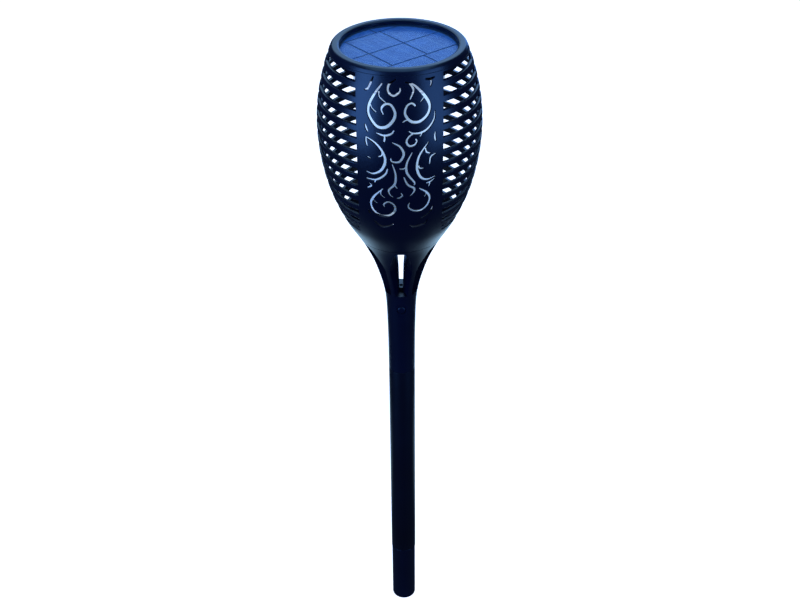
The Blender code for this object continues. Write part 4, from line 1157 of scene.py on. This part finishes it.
def lantern(surfaces):
    """Frosted tube and the cap at its lower end."""
    outline = rounded([
        (DIFFUSER_RADIUS, DIFFUSER_LOW, 0.2 * MM),
        (DIFFUSER_RADIUS, DIFFUSER_HIGH, 0.3 * MM),
        (DIFFUSER_RADIUS - DIFFUSER_WALL, DIFFUSER_HIGH, 0.3 * MM),
        (DIFFUSER_RADIUS - DIFFUSER_WALL, DIFFUSER_LOW, 0.2 * MM),
    ])
    tube = finish_mesh("frosted_tube", turned(outline), surfaces["frosted"])
    place(tube, "diffuser", "diffuser")
    inner = DIFFUSER_RADIUS - DIFFUSER_WALL - 0.3 * MM
    outline = rounded([
        (0, END_CAP_LOW, 0),
        (DIFFUSER_RADIUS, END_CAP_LOW, 1.5 * MM),
        (DIFFUSER_RADIUS, DIFFUSER_LOW - 0.3 * MM, 0.2 * MM),
        (inner, DIFFUSER_LOW - 0.3 * MM, 0.1 * MM),
        (inner, END_CAP_HIGH, 0.3 * MM),
        (0, END_CAP_HIGH, 0),
    ])
    cap = finish_mesh("tube_end_cap", turned(outline), surfaces["white"])
    place(cap, "diffuser", "diffuser_end_cap")


def paint_frame(surfaces):
    """Materials of the CAD nodes that are shown as they are."""
    choice = {
        "panel_board": "board",
        "panel_gasket": "rubber",
        "battery": "wrap",
        "battery_holder": "black",
        "contact_left": "steel",
        "contact_right": "steel",
        "main_board": "circuit",
        "driver_chip": "lead",
        "charge_coil": "rubber",
        "switch_body": "black",
        "housing_cover": "white",
        "led_core": "white",
        "led_board": "white",
        "core_end_cap": "white",
        "lock_spring": "steel",
        "panel_lead_red": "red",
        "panel_lead_black": "lead",
        "battery_lead_red": "red",
        "battery_lead_black": "lead",
        "light_lead": "lead",
    }
    for name, node in frame["nodes"].items():
        key = choice.get(name)
        if name.startswith("solar_cell"):
            key = "silicon"
        if name.startswith("cover_screw"):
            key = "steel"
        if key is None:
            continue
        for slot in node.material_slots:
            slot.material = surfaces[key]


# Camera, light and floor


def camera():
    data = bpy.data.cameras.new("camera")
    data.sensor_width = 36.0
    data.lens = LENS_LENGTH
    data.clip_start = 0.01
    data.clip_end = 50.0
    made = bpy.data.objects.new("camera", data)
    made.location = CAMERA_PLACE
    tilt = Matrix.Rotation(math.radians(90 - CAMERA_PITCH), 4, "X")
    roll = Matrix.Rotation(math.radians(CAMERA_ROLL), 4, "Z")
    made.rotation_euler = (tilt @ roll).to_euler()
    bpy.context.scene.collection.objects.link(made)
    bpy.context.scene.camera = made


def softbox(name, place_at, aim, size, power, colour):
    """A rectangular studio light that the camera doesn't see."""
    data = bpy.data.lights.new(name, "AREA")
    data.shape = "RECTANGLE"
    data.size, data.size_y = size
    data.energy = power
    data.color = colour
    made = bpy.data.objects.new(name, data)
    made.location = place_at
    made.rotation_euler = (Vector(aim) - Vector(place_at)).to_track_quat("-Z", "Y").to_euler()
    made.visible_camera = False
    bpy.context.scene.collection.objects.link(made)
    return made


def lights():
    head = (0, 0, 0.45)
    blue = (0.12, 0.34, 1.0)
    soft_blue = (0.24, 0.55, 1.0)
    softbox("overhead_light", (0.0, -0.1, 1.45), head, (1.3, 0.9), 10, soft_blue)
    softbox("back_light", (0.0, 1.0, 1.2), head, (1.6, 0.9), 8, (0.34, 0.62, 1.0))
    softbox("left_light", (-0.95, -0.75, 0.55), head, (0.8, 1.0), 14, blue)
    softbox("right_light", (0.95, -0.75, 0.55), head, (0.8, 1.0), 9, blue)
    softbox("rear_light", (0.35, 1.5, 0.6), head, (0.9, 0.8), 6, blue)


def rear_card():
    """Pale card on the floor close behind the torch, seen only in its gloss."""
    near, far, half = 0.06, 0.55, 0.22
    mesh = bpy.data.meshes.new("rear_card")
    corners = [(-half, near, 0.002), (half, near, 0.002), (half, far, 0.002), (-half, far, 0.002)]
    mesh.from_pydata(corners, [], [(0, 1, 2, 3)])
    card = bpy.data.objects.new("rear_card", mesh)
    bpy.context.scene.collection.objects.link(card)
    made, nodes, links = new_material("rear_card")
    nodes.remove(nodes["Principled BSDF"])
    glow = nodes.new("ShaderNodeEmission")
    glow.inputs["Color"].default_value = (0.40, 0.66, 0.92, 1.0)
    coordinates = nodes.new("ShaderNodeTexCoord")
    split = nodes.new("ShaderNodeSeparateXYZ")
    fade = nodes.new("ShaderNodeMapRange")
    fade.inputs["From Min"].default_value = near
    fade.inputs["From Max"].default_value = near + 0.18
    fade.inputs["To Min"].default_value = 0.0
    fade.inputs["To Max"].default_value = 2.2
    links.new(coordinates.outputs["Object"], split.inputs["Vector"])
    links.new(split.outputs["Y"], fade.inputs["Value"])
    links.new(fade.outputs["Result"], glow.inputs["Strength"])
    links.new(glow.outputs["Emission"], nodes["Material Output"].inputs["Surface"])
    mesh.materials.append(made)
    card.visible_camera = False
    card.visible_diffuse = False
    card.visible_shadow = False
    card.visible_transmission = False


def floor():
    half = 6.0
    mesh = bpy.data.meshes.new("floor")
    mesh.from_pydata([(-half, -half, 0), (half, -half, 0), (half, half, 0), (-half, half, 0)],
                     [], [(0, 1, 2, 3)])
    made = bpy.data.objects.new("floor", mesh)
    bpy.context.scene.collection.objects.link(made)
    surface, nodes, links = new_material("pale_floor")
    shader = nodes["Principled BSDF"]
    shader.inputs["Base Color"].default_value = (0.90, 0.89, 0.87, 1.0)
    shader.inputs["Roughness"].default_value = 0.9
    shader.inputs["Specular IOR Level"].default_value = 0.0
    shader.inputs["Emission Color"].default_value = (1.0, 1.0, 1.0, 1.0)
    shader.inputs["Emission Strength"].default_value = 1.0
    mesh.materials.append(surface)
    made.visible_glossy = False
    made.visible_diffuse = False


def backdrop():
    """White shell far round the set, seen by the camera only."""
    builder = bmesh.new()
    bmesh.ops.create_uvsphere(builder, u_segments=48, v_segments=24, radius=8.0)
    surface, nodes, links = new_material("backdrop")
    nodes.remove(nodes["Principled BSDF"])
    glow = nodes.new("ShaderNodeEmission")
    glow.inputs["Color"].default_value = (1.0, 1.0, 1.0, 1.0)
    glow.inputs["Strength"].default_value = 1.0
    links.new(glow.outputs["Emission"], nodes["Material Output"].inputs["Surface"])
    shell = finish_mesh("backdrop", builder, surface)
    shell.visible_diffuse = False
    shell.visible_glossy = False
    shell.visible_transmission = False
    shell.visible_shadow = False


def world():
    made = bpy.data.worlds.new("studio")
    made.use_nodes = True
    ground = made.node_tree.nodes["Background"]
    ground.inputs["Color"].default_value = (0.35, 0.55, 1.0, 1.0)
    ground.inputs["Strength"].default_value = 0.05
    bpy.context.scene.world = made


def main():
    surfaces = make_materials()
    camera()
    lights()
    rear_card()
    floor()
    backdrop()
    world()
    bpy.context.scene.view_settings.view_transform = "Standard"
    baskets(surfaces)
    neck(surfaces)
    pole(surfaces)
    stake(surfaces)
    snap_button(surfaces)
    bezel(surfaces)
    panel_window(surfaces)
    tray(surfaces)
    housing(surfaces)
    switch_cap(surfaces)
    lantern(surfaces)
    paint_frame(surfaces)


main()
